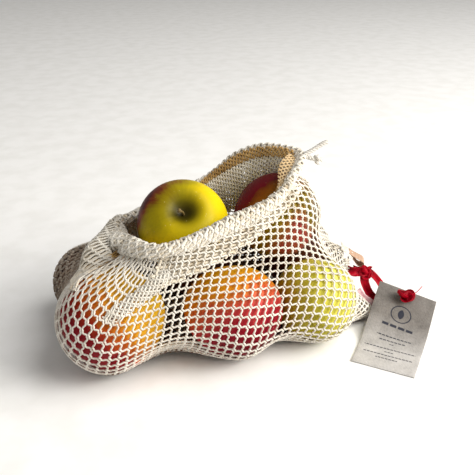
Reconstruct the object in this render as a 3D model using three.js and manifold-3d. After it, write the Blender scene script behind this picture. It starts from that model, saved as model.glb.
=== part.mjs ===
// A reusable produce bag: a knitted cotton net, full of apples, slumped on its side with its mouth open at the top.
// The net and the fruit it hides are one solid, because the net grips them; the two apples in the mouth, the drawcord's
// end, the side tab, the ribbon and the swing tag are solids of their own.
// Millimetres, +Z up, +X along the bag from its heel to its seamed toe, -Y towards the front. The origin is on the
// ground, under the middle of the bag.
import * as THREE from "three";
import { mergeVertices } from "three/addons/utils/BufferGeometryUtils.js";
import Module from "manifold-3d";

const wasm = await Module();
wasm.setup();

const vec = (x, y, z) => new THREE.Vector3(x, y, z);
const TAU = 2 * Math.PI;

// ---------------------------------------------------------------- driving dimensions

const NET = 1.6; // how far the net's outer face stands off the fruit
const GAP = 0.5; // left between the net and the two apples that show
const WALL = 3.5; // the net's wall at the mouth

// Each apple's middle and radius. These six lie on the ground inside the net, which their weight flattens below them.
const HIDDEN_APPLES = [
  { at: vec(-106, -58, 39), radius: 38.5 }, // heel, front
  { at: vec(-19, -66, 35.5), radius: 35 }, // middle, front
  { at: vec(43, -62, 32.5), radius: 32 }, // toe, front
  { at: vec(-116, 10, 31), radius: 30.5 }, // heel, back
  { at: vec(-34, 24, 34.5), radius: 34 }, // middle, back
  { at: vec(56, 14, 31.5), radius: 31 }, // toe, back
];
const MOUTH_APPLE = { at: vec(-48, -26.5, 89), radius: 34.8, axis: vec(-0.08, -0.69, 0.77) };
const HOOD_APPLE = { at: vec(26, -17, 84), radius: 34, axis: vec(0.83, -0.5, 0.2) };
const BUNCHES = [
  // net gathered up at the toe
  { at: vec(92, -51, 7.5), radius: 6 }, // on the ground
  { at: vec(78, -16, 43), radius: 7 }, // below the side tab
];
const FILLING = [...HIDDEN_APPLES, MOUTH_APPLE, HOOD_APPLE, ...BUNCHES];

const MIDDLE = vec(-15, -22, 52); // the point inside the bag that every part of its skin can be seen from

// The mouth: from the right-hand corner, where the cord comes out, along the front to the left-hand corner and back
// behind the fruit, where the rim stands up as a hood.
const MOUTH = [
  vec(46, -17, 131),
  vec(14, -50, 117),
  vec(-22, -63, 110),
  vec(-55, -70, 101),
  vec(-78, -64, 96),
  vec(-95, -26, 94),
  vec(-81, 6, 88),
  vec(-52, 22, 92),
  vec(-17, 31, 103),
  vec(8, 31, 120),
  vec(30, 18, 129),
];
const LEFT_CORNER = 5; // its place in that list

// The toe is a flat seam, from the side tab's corner down to the ear that lies on the ground.
const SEAM = [vec(91, -20, 41), vec(88, -33, 24), vec(106, -47, 5)];
const SEAM_THICKNESS = 3;

const AROUND = 52; // columns of the skin, right round the bag
const ALONG = 30; // rows of the skin, from the seam to the mouth
const ROOM_ROW = 10; // the row of the skin that the room inside the net reaches, towards the toe
const ROOM_FLOOR = 14; // the lowest that room goes, down between the apples
const ROOM_TOP = 150; // above the highest point of the rim
const ROOM_SLACK = 3; // how far it stands off the hidden apples, so that the two in the mouth rest on them
const GROUND = 0.5; // the ground's height, which flattens the net below each lower apple
const SETTLE = 450; // passes in which the net pulls itself tight
const CLING = 0.2; // how far each pass also draws the net in between the apples

// Folds that stand out of the net or into it, placed by column and row of the skin.
const CUFF = { out: 4, firstRow: 23, firstColumn: 4, lastColumn: 19 }; // the net turned down along the front
const RIDGE = { out: 8, column: 26.4, spread: 1.1, firstRow: 22 }; // the side fold below the left-hand corner
const PINCH = { out: -7, column: 23.6, spread: 0.9, row: 27, length: 1.8 }; // the crease beside that fold

const STALK = { length: 15, radius: 1.2 };

// The cord's end comes out of the mouth's right-hand corner in two tails, the lower one knotted.
const CORD_RADIUS = 1.4;
const LONG_TAIL = [vec(46.6, -17.4, 131.8), vec(55, -16.5, 135), vec(63, -14, 138), vec(70, -12, 139)];
const SHORT_TAIL = [vec(47, -18, 131), vec(52.5, -19.6, 129.2), vec(58, -19, 127.5), vec(61, -18, 127)];
const CORD_KNOT = { at: vec(57, -19, 128), size: vec(4, 3, 2.8) };

// The side tab is a strip folded in half and sewn in by its ends, so its fold points away from the bag.
const TAB = { at: vec(92.8, -19.3, 42), length: 14, width: 9, thickness: 0.8, open: 1.6, down: 0.75 };

// The ribbon is tied round the toe's corner. Its two strands run under the tag and come up through its hole.
const RIBBON = { width: 4.6, thickness: 0.9 };
const TIE = [vec(90.6, -27, 31.5), vec(93.5, -30.5, 31.5), vec(97, -32, 31.5), vec(101, -30, 30.5)];
const UPPER_STRAND = [
  vec(101, -30, 30.5),
  vec(108, -27.5, 25),
  vec(116, -28, 15),
  vec(121, -38, 7),
  vec(124.5, -49, 5),
  vec(125.3, -57, 8.5),
];
const LOWER_STRAND = [
  vec(101, -30, 30.5),
  vec(99, -33.5, 23),
  vec(104, -38, 11),
  vec(112, -46, 5.5),
  vec(119, -53, 5),
  vec(123.6, -57.4, 8.5),
];
const NECK = { points: [vec(124.6, -57.1, 7.5), vec(124.4, -57.7, 12.5), vec(124.3, -58.2, 19.5)], radius: 1.7 };
const FIRST_KNOT = { at: vec(101, -30, 30), size: vec(4.2, 3.4, 4.4) };
const TAG_KNOT = { at: vec(123.3, -59.2, 20.3), size: vec(6, 4, 3.2) };

// The tag lies on the ground along its lower end and bends up along a slanting crease to where the ribbon holds it.
const TAG = {
  corner: vec(58.5, -101.3, GROUND), // its lower left-hand corner
  turn: -0.694, // from +X, in radians
  width: 46,
  height: 86,
  thickness: 0.8,
  slope: 0.388, // rise over run, above the crease
  creaseLeft: 26.5, // how far up the crease starts and ends
  creaseRight: 49.5,
  bend: 6, // how far the bend spreads
  hole: 2.6, // its radius
  holeFromTop: 8,
};

// ---------------------------------------------------------------- the draped net

const clamp01 = (x) => Math.min(1, Math.max(0, x));
const smooth = (x) => clamp01(x) ** 2 * (3 - 2 * clamp01(x));

// count points at even distances along a polyline, its last point left out.
function evenly(line, count) {
  const lengths = [0];
  for (let i = 1; i < line.length; i++) {
    lengths.push(lengths[i - 1] + line[i].distanceTo(line[i - 1]));
  }
  const points = [];
  for (let k = 0, i = 1; k < count; k++) {
    const wanted = (lengths.at(-1) * k) / count;
    while (lengths[i] < wanted) i++;
    const share = (wanted - lengths[i - 1]) / (lengths[i] - lengths[i - 1]);
    points.push(line[i - 1].clone().lerp(line[i], share));
  }
  return points;
}

// The rim as AROUND points: column 0 is the right-hand corner, and column AROUND / 2 the left-hand one.
function mouthLoop() {
  const steps = 40;
  const curve = new THREE.CatmullRomCurve3(MOUTH, true, "catmullrom", 0.5);
  const line = curve.getPoints(MOUTH.length * steps);
  const corner = LEFT_CORNER * steps;
  return [
    ...evenly(line.slice(0, corner + 1), AROUND / 2),
    ...evenly(line.slice(corner), AROUND / 2),
  ];
}

// The toe's seam as a thin closed loop: the front sheet's edge to the ear, and the back sheet's edge home.
function seamLoop() {
  const curve = new THREE.CatmullRomCurve3(SEAM);
  const across = SEAM.at(-1).clone().sub(SEAM[0]).normalize();
  const outward = vec(0.8, -0.35, 0.3).cross(across).normalize();
  const points = [];
  for (let k = 0; k < AROUND; k++) {
    const share = k <= AROUND / 2 ? (2 * k) / AROUND : 2 - (2 * k) / AROUND;
    const side = Math.sin((TAU * k) / AROUND);
    const apart = (Math.sign(side) * Math.sqrt(Math.abs(side)) * SEAM_THICKNESS) / 2;
    points.push(curve.getPointAt(share).addScaledVector(outward, apart));
  }
  return points;
}

// Two directions mixed along the arc between them.
function arc(from, to, share) {
  const angle = from.angleTo(to);
  if (angle < 1e-6) return from.clone();
  return from
    .clone()
    .multiplyScalar(Math.sin((1 - share) * angle))
    .addScaledVector(to, Math.sin(share * angle))
    .divideScalar(Math.sin(angle));
}

// The skin before it settles: a loose balloon from the seam (row 0) to the mouth (row ALONG), with its widest loop
// tilted so that the balloon opens upwards and closes to the right.
function balloon(seam, mouth) {
  const reach = 190;
  const rightUp = vec(0.65, 0, 0.75).normalize();
  const rows = [];
  for (let j = 0; j <= ALONG; j++) {
    const share = j / ALONG;
    const row = [];
    for (let k = 0; k < AROUND; k++) {
      const turn = (TAU * k) / AROUND;
      const widest = rightUp.clone().multiplyScalar(Math.cos(turn)).add(vec(0, -Math.sin(turn), 0));
      const start = seam[k].clone().sub(MIDDLE);
      const end = mouth[k].clone().sub(MIDDLE);
      const way = share < 0.5
        ? arc(start.clone().normalize(), widest, 2 * share)
        : arc(widest, end.clone().normalize(), 2 * share - 1);
      const ends = start.length() * (1 - share) + end.length() * share;
      const bulge = Math.sin(Math.PI * share);
      row.push(way.multiplyScalar(ends + (reach - ends) * bulge).add(MIDDLE));
    }
    rows.push(row);
  }
  rows[0] = seam;
  rows[ALONG] = mouth;
  return rows;
}

// How far the fruit reaches from MIDDLE in a direction, with the net's thickness on it.
function fruitReach(way) {
  let reach = 0;
  for (const apple of FILLING) {
    const to = apple.at.clone().sub(MIDDLE);
    const along = to.dot(way);
    const miss = to.lengthSq() - along * along;
    const radius = apple.radius + NET;
    if (miss < radius * radius) reach = Math.max(reach, along + Math.sqrt(radius * radius - miss));
  }
  return reach;
}

// Pulls the balloon tight: each knot goes to the middle of its four neighbours, unless fruit or the ground is in the way.
function settle(rows) {
  for (let pass = 0; pass < SETTLE; pass++) {
    for (let j = 1; j < ALONG; j++) {
      for (let k = 0; k < AROUND; k++) {
        const knot = rows[j][k];
        const next = rows[j - 1][k].clone().add(rows[j + 1][k]);
        next.add(rows[j][(k + 1) % AROUND]).add(rows[j][(k + AROUND - 1) % AROUND]);
        knot.copy(next.divideScalar(4));
        const out = knot.clone().sub(MIDDLE);
        const way = out.clone().normalize();
        const cling = CLING * smooth((0.85 - j / ALONG) / 0.3) * smooth((way.z + 0.9) / 0.3);
        knot.copy(MIDDLE).addScaledVector(way, Math.max(out.length() - cling, fruitReach(way)));
        knot.z = Math.max(knot.z, 0);
      }
    }
  }
  return rows;
}

// ---------------------------------------------------------------- solids from rings of points

// Rings of points, all of one length, as a closed geometry. Each ring is joined to the next one.
function ringGeometry(rings, closeStart, closeEnd) {
  const size = rings[0].length;
  const positions = rings.flat().flatMap((p) => [p.x, p.y, p.z]);
  const index = [];
  const at = (j, k) => j * size + ((k + size) % size);
  for (let j = 0; j + 1 < rings.length; j++) {
    for (let k = 0; k < size; k++) {
      index.push(at(j, k), at(j + 1, k), at(j + 1, k + 1));
      index.push(at(j, k), at(j + 1, k + 1), at(j, k + 1));
    }
  }
  closeStart(index, (k) => at(0, k), size, positions);
  closeEnd(index, (k) => at(rings.length - 1, k), size, positions);
  const geometry = new THREE.BufferGeometry();
  geometry.setAttribute("position", new THREE.Float32BufferAttribute(positions, 3));
  geometry.setIndex(index);
  return geometry;
}

// Closes a flattened ring with a strip from one side to the other.
function stripCap(index, at, size) {
  index.push(at(0), at(1), at(size - 1));
  for (let k = 1; k < size / 2 - 1; k++) {
    index.push(at(k), at(k + 1), at(size - k));
    index.push(at(size - k), at(k + 1), at(size - k - 1));
  }
  index.push(at(size / 2 - 1), at(size / 2), at(size / 2 + 1));
}

// Closes a ring whose second half runs back beside its first half, with the strip between them.
function stackCap(last) {
  return (index, at, size) => {
    for (let i = 0; i + 1 < size / 2; i++) {
      const corners = [at(i), at(i + 1), at(size - 2 - i), at(size - 1 - i)];
      if (last) corners.reverse();
      index.push(corners[0], corners[1], corners[2], corners[0], corners[2], corners[3]);
    }
  };
}

// Closes a ring with a fan round its middle.
function fanCap(index, at, size, positions) {
  const middle = positions.length / 3;
  const sum = vec(0, 0, 0);
  for (let k = 0; k < size; k++) sum.add(vec(...positions.slice(at(k) * 3, at(k) * 3 + 3)));
  sum.divideScalar(size);
  positions.push(sum.x, sum.y, sum.z);
  for (let k = 0; k < size; k++) index.push(at(k + 1), at(k), middle);
}

// The same for the first ring of a solid, whose fan faces the other way.
function fanCapBack(index, at, size, positions) {
  fanCap(index, (k) => at(-k), size, positions);
}

// A closed geometry as a manifold-3d solid, and back.
function solid(geometry) {
  const bare = geometry.clone();
  bare.deleteAttribute("normal");
  bare.deleteAttribute("uv");
  const merged = mergeVertices(bare, 1e-4);
  return new wasm.Manifold(
    new wasm.Mesh({
      numProp: 3,
      vertProperties: new Float32Array(merged.attributes.position.array),
      triVerts: new Uint32Array(merged.index.array),
    }),
  );
}

function geometryOf(made) {
  const { vertProperties, triVerts } = made.getMesh();
  const geometry = new THREE.BufferGeometry();
  geometry.setAttribute("position", new THREE.Float32BufferAttribute(vertProperties, 3));
  geometry.setIndex([...triVerts]);
  return geometry.toNonIndexed();
}

function mesh(name, geometry, colour, roughness) {
  geometry.computeVertexNormals();
  const made = new THREE.Mesh(geometry, new THREE.MeshStandardMaterial({ color: colour, roughness, metalness: 0 }));
  made.name = name;
  return made;
}

// ---------------------------------------------------------------- the bag

// How far the net's folds stand out at a column and row of the skin.
function foldOut(k, j) {
  const bell = (x) => Math.exp(-x * x);
  const cuff =
    CUFF.out * smooth(j - CUFF.firstRow + 0.5) * smooth((k - CUFF.firstColumn) / 3 + 1) * smooth((CUFF.lastColumn - k) / 3 + 1);
  const ridge = RIDGE.out * bell((k - RIDGE.column) / RIDGE.spread) * smooth((j - RIDGE.firstRow) / 3);
  const pinch = PINCH.out * bell((k - PINCH.column) / PINCH.spread) * bell((j - PINCH.row) / PINCH.length);
  return cuff + ridge + pinch;
}

function sphereAround({ at, radius }, gap, sides) {
  return wasm.Manifold.sphere(radius + gap, sides).translate([at.x, at.y, at.z]);
}

// The net with the hidden apples in it: full at first, then hollowed out through the mouth. The hollow is the room
// inside the net that the apples leave free.
function bag() {
  const drape = settle(balloon(seamLoop(), mouthLoop()));
  const moved = (j, by) => drape[j].map((p, k) => p.clone().addScaledVector(p.clone().sub(MIDDLE).normalize(), by(k)));
  const rows = [...Array(ALONG + 1).keys()];
  const skin = rows.map((j) => moved(j, (k) => foldOut(k, j)));
  const wall = rows.filter((j) => j >= ROOM_ROW && j % 3 === 0); // every third row is fine enough inside
  const inside = wall.map((j) => moved(j, (k) => Math.min(0, foldOut(k, j)) - WALL));
  const rim = skin.at(-1);
  const above = rim.map((p) => p.clone().setZ(ROOM_TOP));
  let room = solid(ringGeometry([...inside, rim, above], fanCapBack, fanCap)).trimByPlane([0, 0, 1], ROOM_FLOOR);
  for (const apple of HIDDEN_APPLES) room = room.subtract(sphereAround(apple, ROOM_SLACK, 20));
  const [mouth] = room.decompose().sort((a, b) => b.volume() - a.volume());
  return solid(ringGeometry(skin, stripCap, fanCap))
    .subtract(mouth)
    .subtract(sphereAround(MOUTH_APPLE, GAP, 40))
    .subtract(sphereAround(HOOD_APPLE, GAP, 40))
    .trimByPlane([0, 0, 1], GROUND);
}

// ---------------------------------------------------------------- apples

// An apple about its own +Z: rounder at the shoulders than at the base, with a deep hollow round the stalk and a
// shallow one opposite.
function appleGeometry(radius) {
  const sides = 24;
  const steps = 16;
  const profile = [];
  for (let i = 0; i <= steps; i++) {
    const angle = (Math.PI * i) / steps; // 0 at the stalk
    const out = radius * Math.sin(angle) * (1 + 0.05 * Math.sin(angle) * Math.cos(angle)) * 0.99;
    const hollow = 0.34 * Math.exp(-((out / (0.3 * radius)) ** 2));
    const basin = 0.14 * Math.exp(-((out / (0.22 * radius)) ** 2));
    const up = 0.95 * radius * Math.cos(angle) - radius * (angle < Math.PI / 2 ? hollow : -basin);
    profile.push(new THREE.Vector2(i % steps ? out : 0, up));
  }
  return new THREE.LatheGeometry(profile.reverse(), sides).rotateX(Math.PI / 2);
}

function placed(geometry, { at, axis }) {
  const turn = new THREE.Quaternion().setFromUnitVectors(vec(0, 0, 1), axis.clone().normalize());
  return geometry.applyQuaternion(turn).translate(at.x, at.y, at.z);
}

// The apple in the mouth shows its stalk, which leans a little.
function mouthApple() {
  const { radius } = MOUTH_APPLE;
  const foot = vec(0, 0, 0.55 * radius);
  const stalk = sweep([foot, vec(-1.2, -0.6, foot.z + STALK.length / 2), vec(-4, -2, foot.z + STALK.length)], round(STALK.radius), 6);
  return solid(placed(appleGeometry(radius), MOUTH_APPLE)).add(solid(placed(stalk, MOUTH_APPLE)));
}

// ---------------------------------------------------------------- cord, tab, ribbon and tag

function round(radius, sides = 8) {
  const shape = new THREE.Shape();
  for (let i = 0; i < sides; i++) {
    const angle = (TAU * i) / sides;
    const method = i ? "lineTo" : "moveTo";
    shape[method](radius * Math.cos(angle), radius * Math.sin(angle));
  }
  return shape;
}

function flat({ width, thickness }) {
  const [w, t] = [width / 2, thickness / 2];
  return new THREE.Shape([new THREE.Vector2(-t, -w), new THREE.Vector2(t, -w), new THREE.Vector2(t, w), new THREE.Vector2(-t, w)]);
}

// A shape carried along a smooth curve through the points.
function sweep(points, shape, steps) {
  return new THREE.ExtrudeGeometry(shape, { steps, extrudePath: new THREE.CatmullRomCurve3(points) });
}

function lump({ at, size }) {
  return solid(new THREE.SphereGeometry(1, 12, 8).scale(size.x, size.y, size.z).translate(at.x, at.y, at.z));
}

function drawcord() {
  return solid(sweep(LONG_TAIL, round(CORD_RADIUS), 10))
    .add(solid(sweep(SHORT_TAIL, round(CORD_RADIUS), 8)))
    .add(lump(CORD_KNOT));
}

function sideTab() {
  const { at, length, width, thickness, open, down } = TAB;
  const half = open / 2 + thickness;
  const shape = new THREE.Shape();
  shape.moveTo(0, -half);
  shape.lineTo(length - half, -half);
  shape.absarc(length - half, 0, half, -Math.PI / 2, Math.PI / 2, false);
  shape.lineTo(0, half);
  shape.lineTo(0, half - thickness);
  shape.lineTo(length - half, half - thickness);
  shape.absarc(length - half, 0, half - thickness, Math.PI / 2, -Math.PI / 2, true);
  shape.lineTo(0, thickness - half);
  const geometry = new THREE.ExtrudeGeometry(shape, { depth: width, bevelEnabled: false, curveSegments: 6 });
  return geometry
    .translate(0, 0, -width / 2)
    .rotateX(Math.PI / 2)
    .rotateX(0.25)
    .rotateY(down)
    .rotateZ(-0.2)
    .translate(at.x, at.y, at.z);
}

function ribbon() {
  return solid(sweep(TIE, flat(RIBBON), 6))
    .add(solid(sweep(UPPER_STRAND, flat(RIBBON), 14)))
    .add(solid(sweep(LOWER_STRAND, flat(RIBBON), 14)))
    .add(solid(sweep(NECK.points, round(NECK.radius), 6)))
    .add(lump(FIRST_KNOT))
    .add(lump(TAG_KNOT));
}

// A place on the tag's under side: across from its left edge, and up from its lower edge along the card.
function onTag(across, up, lift) {
  const { corner, turn, width, slope, creaseLeft, creaseRight, bend } = TAG;
  const past = up - creaseLeft - ((creaseRight - creaseLeft) * across) / width;
  const rise = slope * 0.5 * (past + Math.hypot(past, bend));
  const run = up - (1 - Math.cos(Math.atan(slope))) * Math.max(past, 0);
  return vec(across, run, rise + lift).applyAxisAngle(vec(0, 0, 1), turn).add(corner);
}

function swingTag() {
  const { width, height, thickness, hole, holeFromTop } = TAG;
  const rows = 16;
  const columns = 6;
  const rings = [];
  for (let j = 0; j <= rows; j++) {
    const ring = [];
    for (let i = 0; i <= columns; i++) ring.push(onTag((width * i) / columns, (height * j) / rows, 0));
    for (let i = columns; i >= 0; i--) ring.push(onTag((width * i) / columns, (height * j) / rows, thickness));
    rings.push(ring);
  }
  const card = solid(ringGeometry(rings, stackCap(false), stackCap(true)));
  const through = new THREE.CylinderGeometry(hole, hole, 12, 20).rotateX(Math.PI / 2);
  const at = onTag(width / 2, height - holeFromTop, 0);
  return card.subtract(solid(through.translate(at.x, at.y, at.z)));
}

// ---------------------------------------------------------------- the object

const group = new THREE.Group();
group.add(mesh("net_bag", geometryOf(bag()), 0xe9e0cf, 0.9));
group.add(mesh("apple_at_mouth", geometryOf(mouthApple()), 0xd9c92a, 0.35));
group.add(mesh("apple_in_hood", placed(appleGeometry(HOOD_APPLE.radius), HOOD_APPLE), 0x5c0f1c, 0.35));
group.add(mesh("drawcord", geometryOf(drawcord()), 0xf2ede2, 0.9));
group.add(mesh("side_tab", sideTab(), 0xd9b8a6, 0.85));
group.add(mesh("ribbon", geometryOf(ribbon()), 0xb0101e, 0.5));
group.add(mesh("swing_tag", geometryOf(swingTag()), 0xb3a48c, 0.9));

// The origin goes to the ground under the middle of the whole.
const box = new THREE.Box3().setFromObject(group);
const origin = box.getCenter(vec(0, 0, 0)).setZ(box.min.z);
for (const { geometry } of group.children) geometry.translate(-origin.x, -origin.y, -origin.z);

export default group;
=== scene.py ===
# %% [markdown]
# # A net bag of apples
#
# This lesson dresses a reusable produce bag: a knitted cotton net, full of apples, lying slumped with its
# mouth open. The CAD model gives the bag's solid form. Here that solid becomes what it stands for: thread
# round fruit. Everything is in metres and in the CAD model's own frame, so a piece is made where it
# belongs and never moved.

import math

import bmesh
import bpy
import numpy as np
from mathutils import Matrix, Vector
from mathutils.geometry import delaunay_2d_cdt


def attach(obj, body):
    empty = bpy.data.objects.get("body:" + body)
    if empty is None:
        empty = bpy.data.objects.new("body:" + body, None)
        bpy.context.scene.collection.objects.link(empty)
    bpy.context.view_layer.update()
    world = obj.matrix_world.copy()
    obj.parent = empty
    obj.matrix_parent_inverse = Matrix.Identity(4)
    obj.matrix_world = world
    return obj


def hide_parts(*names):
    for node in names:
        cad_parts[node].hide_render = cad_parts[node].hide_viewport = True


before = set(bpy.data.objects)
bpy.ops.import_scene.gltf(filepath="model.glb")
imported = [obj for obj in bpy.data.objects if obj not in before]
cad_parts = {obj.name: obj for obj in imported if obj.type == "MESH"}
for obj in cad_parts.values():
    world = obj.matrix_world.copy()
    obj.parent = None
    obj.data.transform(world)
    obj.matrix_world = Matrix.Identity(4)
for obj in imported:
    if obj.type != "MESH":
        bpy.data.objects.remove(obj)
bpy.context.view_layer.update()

# %% [markdown]
# ## Camera
#
# The bag is seen from the front, a little to its left and from above, through a slightly long lens. The
# camera comes first, because every later choice of detail depends on how large a thread is in the
# picture. Its place is worked out from two angles and a distance, so that it can be checked against the
# real viewing angle.

# %% Camera
MM = 0.001
# from the frame that the bag was laid out in, to the CAD model's origin
SHIFT = np.array([0.0967, 35.624, -0.5])
AZIMUTH, ELEVATION = 345, 27  # degrees
DISTANCE = 0.5  # metres
LENS = 46.99  # mm, on a sensor 36 mm wide


def camera(azimuth, elevation, distance, target, focal_mm):
    a, e = math.radians(azimuth), math.radians(elevation)
    back = Vector((math.sin(a) * math.cos(e), -math.cos(a) * math.cos(e), math.sin(e)))
    data = bpy.data.cameras.new("camera")
    data.lens, data.sensor_width, data.sensor_fit = focal_mm, 36, "HORIZONTAL"
    data.clip_start, data.clip_end = 0.01, 20
    made = bpy.data.objects.new("camera", data)
    made.location = Vector(target) + back * distance
    made.rotation_euler = (-back).to_track_quat("-Z", "Y").to_euler()
    bpy.context.collection.objects.link(made)
    bpy.context.scene.camera = made
    print("camera at", [round(v, 3) for v in made.location])


camera(AZIMUTH, ELEVATION, DISTANCE, (np.array([0, 0, 60]) + SHIFT) * MM, LENS)

# %% [markdown]
# ## How the net drapes
#
# A real net has no shape of its own: it takes the shape of what it holds, and spans tightly from one
# apple to the next. Cloth simulation could find that shape, but a net that is already pulled tight
# settles to something simpler, a stretched skin. So the skin starts as a loose balloon round the fruit,
# and each knot moves again and again to the middle of its four neighbours, unless an apple or the ground
# is in the way.

# %% The fruit and the edges of the net, in millimetres
APPLES = {
    "heel_front": ((-106, -58, 39), 38.5),
    "middle_front": ((-19, -66, 35.5), 35),
    "toe_front": ((43, -62, 32.5), 32),
    "heel_back": ((-116, 10, 31), 30.5),
    "middle_back": ((-34, 24, 34.5), 34),
    "toe_back": ((56, 14, 31.5), 31),
    "mouth": ((-48, -26.5, 89), 34.8),
    "hood": ((26, -17, 84), 34),
}
BUNCHES = [((92, -51, 7.5), 6), ((78, -16, 43), 7)]
MIDDLE = np.array([-15, -22, 52.0])
MOUTH = [(46, -17, 131), (14, -50, 117), (-22, -63, 110), (-55, -70, 101), (-78, -64, 96), (-95, -26, 94),
         (-81, 6, 88), (-52, 22, 92), (-17, 31, 103), (8, 31, 120), (30, 18, 129)]
LEFT_CORNER = 5
SEAM = [(91, -20, 41), (88, -33, 24), (106, -47, 5)]
SEAM_THICKNESS = 3
NET = 1.6  # how far the net's outer face stands off the fruit
GROUND = 0.5  # the ground's height, which flattens the net below each lower apple
COLUMNS, ROWS = 52, 30  # of the skin as it is first laid out: round the bag, and from the toe to the mouth
SPAN = 40  # places drawn for each span of a line through points


def smooth(x):
    x = np.clip(x, 0, 1)
    return x * x * (3 - 2 * x)


def curve_through(points, closed, steps=SPAN):
    """A smooth line through the points: steps places for each span."""
    p = np.array(points, float)
    if closed:
        before, after, after2 = np.roll(p, 1, 0), np.roll(p, -1, 0), np.roll(p, -2, 0)
        start = p
    else:
        ends = np.vstack([2 * p[0] - p[1], p, 2 * p[-1] - p[-2]])
        before, start, after, after2 = ends[:-3], ends[1:-2], ends[2:-1], ends[3:]
    t = (np.arange(steps) / steps)[None, :, None]
    b, s, a, a2 = (q[:, None, :] for q in (before, start, after, after2))
    line = 0.5 * (2 * s + (a - b) * t + (2 * b - 5 * s + 4 * a - a2) * t**2 + (3 * s - b - 3 * a + a2) * t**3)
    line = line.reshape(-1, 3)
    return np.vstack([line, p[:1] if closed else p[-1:]])


def evenly(line, shares):
    """Places along a line, at shares of its length."""
    length = np.r_[0, np.cumsum(np.linalg.norm(np.diff(line, axis=0), axis=1))]
    return np.stack([np.interp(np.asarray(shares) * length[-1], length, line[:, i]) for i in range(3)], 1)


def mouth_loop(around):
    line = curve_through(MOUTH, True)
    corner = LEFT_CORNER * SPAN
    half = np.arange(around // 2) / (around // 2)
    return np.vstack([evenly(line[: corner + 1], half), evenly(line[corner:], half)])


def seam_loop(around):
    share = np.arange(around) / around
    there = evenly(curve_through(SEAM, False), np.where(share <= 0.5, 2 * share, 2 - 2 * share))
    across = np.array(SEAM[-1], float) - np.array(SEAM[0])
    outward = np.cross((0.8, -0.35, 0.3), across / np.linalg.norm(across))
    outward /= np.linalg.norm(outward)
    side = np.sin(2 * np.pi * share)
    return there + outward * (np.sign(side) * np.sqrt(abs(side)) * SEAM_THICKNESS / 2)[:, None]


# %% Settle the skin
def unit(v):
    return v / np.linalg.norm(v, axis=-1, keepdims=True)


def arc(a, b, share):
    """Directions mixed along the arc between them."""
    a, b = unit(a), unit(b)
    angle = np.arccos(np.clip((a * b).sum(-1, keepdims=True), -1, 1))
    sine = np.where(angle < 1e-6, 1, np.sin(angle))
    return np.where(angle < 1e-6, a, (np.sin((1 - share) * angle) * a + np.sin(share * angle) * b) / sine)


def fruit_reach(way):
    reach = np.zeros(way.shape[:-1])
    for at, radius in [*APPLES.values(), *BUNCHES]:
        to = np.array(at) - MIDDLE
        along = way @ to
        miss = to @ to - along**2
        radius = radius + NET
        far_side = along + np.sqrt(np.maximum(radius**2 - miss, 0))
        reach = np.maximum(reach, np.where(miss < radius**2, far_side, 0))
    return reach


BALLOON = 190  # how far from the middle the skin starts, at its widest


def balloon(around, along):
    """The skin before it settles: a loose balloon from the toe's seam to the mouth."""
    seam, mouth = seam_loop(around), mouth_loop(around)
    share = (np.arange(along + 1) / along)[:, None, None]
    turn = 2 * np.pi * np.arange(around) / around
    right_up = np.array([0.65, 0, 0.75]) / math.hypot(0.65, 0.75)
    widest = np.cos(turn)[:, None] * right_up - np.sin(turn)[:, None] * np.array([0, 1, 0])
    loops = (seam - MIDDLE, mouth - MIDDLE, widest)
    start, end, widest = (np.broadcast_to(loop, (along + 1, around, 3)) for loop in loops)
    way = np.where(share < 0.5, arc(start, widest, 2 * share), arc(widest, end, 2 * share - 1))
    start_far, end_far = (np.linalg.norm(v, axis=-1, keepdims=True) for v in (start, end))
    ends = start_far * (1 - share) + end_far * share
    skin = way * (ends + (BALLOON - ends) * np.sin(np.pi * share)) + MIDDLE
    skin[0], skin[-1] = seam, mouth
    return skin


def settle(skin, passes, cling):
    """Each pass moves every knot to the middle of its neighbours, and cling draws it in between the fruit."""
    along = len(skin) - 1
    share = (np.arange(1, along) / along)[:, None, None]
    for _ in range(passes):
        knots = (skin[:-2] + skin[2:] + np.roll(skin[1:-1], 1, 1) + np.roll(skin[1:-1], -1, 1)) / 4
        out = knots - MIDDLE
        far = np.linalg.norm(out, axis=-1, keepdims=True)
        way = out / far
        far = far - cling * smooth((0.85 - share) / 0.3) * smooth((way[..., 2:] + 0.9) / 0.3)
        knots = MIDDLE + way * np.maximum(far, fruit_reach(way)[..., None])
        knots[..., 2] = np.maximum(knots[..., 2], GROUND)
        skin[1:-1] = knots
    return skin


def finer(skin):
    """Twice as many columns and rows, halfway between the old ones, with the edges made afresh."""
    rows = np.empty((2 * len(skin) - 1, skin.shape[1], 3))
    rows[::2] = skin
    rows[1::2] = (skin[:-1] + skin[1:]) / 2
    both = np.empty((len(rows), 2 * rows.shape[1], 3))
    both[:, ::2] = rows
    both[:, 1::2] = (rows + np.roll(rows, -1, 1)) / 2
    both[0], both[-1] = seam_loop(both.shape[1]), mouth_loop(both.shape[1])
    return both


drape = settle(balloon(COLUMNS, ROWS), 450, 0.2)
drape = settle(finer(drape), 150, 0.05)
drape = settle(finer(drape), 60, 0.0125)
KNOTS = 4  # in each of the first columns and rows, after it was made finer twice
print("skin:", drape.shape, "lowest", drape[..., 2].min(), "highest", drape[..., 2].max())

# %% [markdown]
# ## Folds
#
# The drape alone is too tidy. The real net is turned down along the front of the mouth, where its doubled
# layer hides the fruit, its side fold stands up below the left-hand corner, and a sharp crease is pinched
# in beside that. Each fold is a small push in or out, written as a function of the net's own columns and
# rows.

# %% Folds in the net
def bell(x):
    return np.exp(-x * x)


column = (np.arange(drape.shape[1]) / KNOTS)[None, :]
row = (np.arange(drape.shape[0]) / KNOTS)[:, None]


def pushed(skin, by):
    return skin + unit(skin - MIDDLE) * by[..., None]


def pulled(skin, at, reach, by):
    """The skin with a place drawn aside, where the net is slack between two apples."""
    near = bell(np.linalg.norm((skin - at) / reach, axis=-1, keepdims=True))
    return skin + near * np.array(by)


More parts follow.
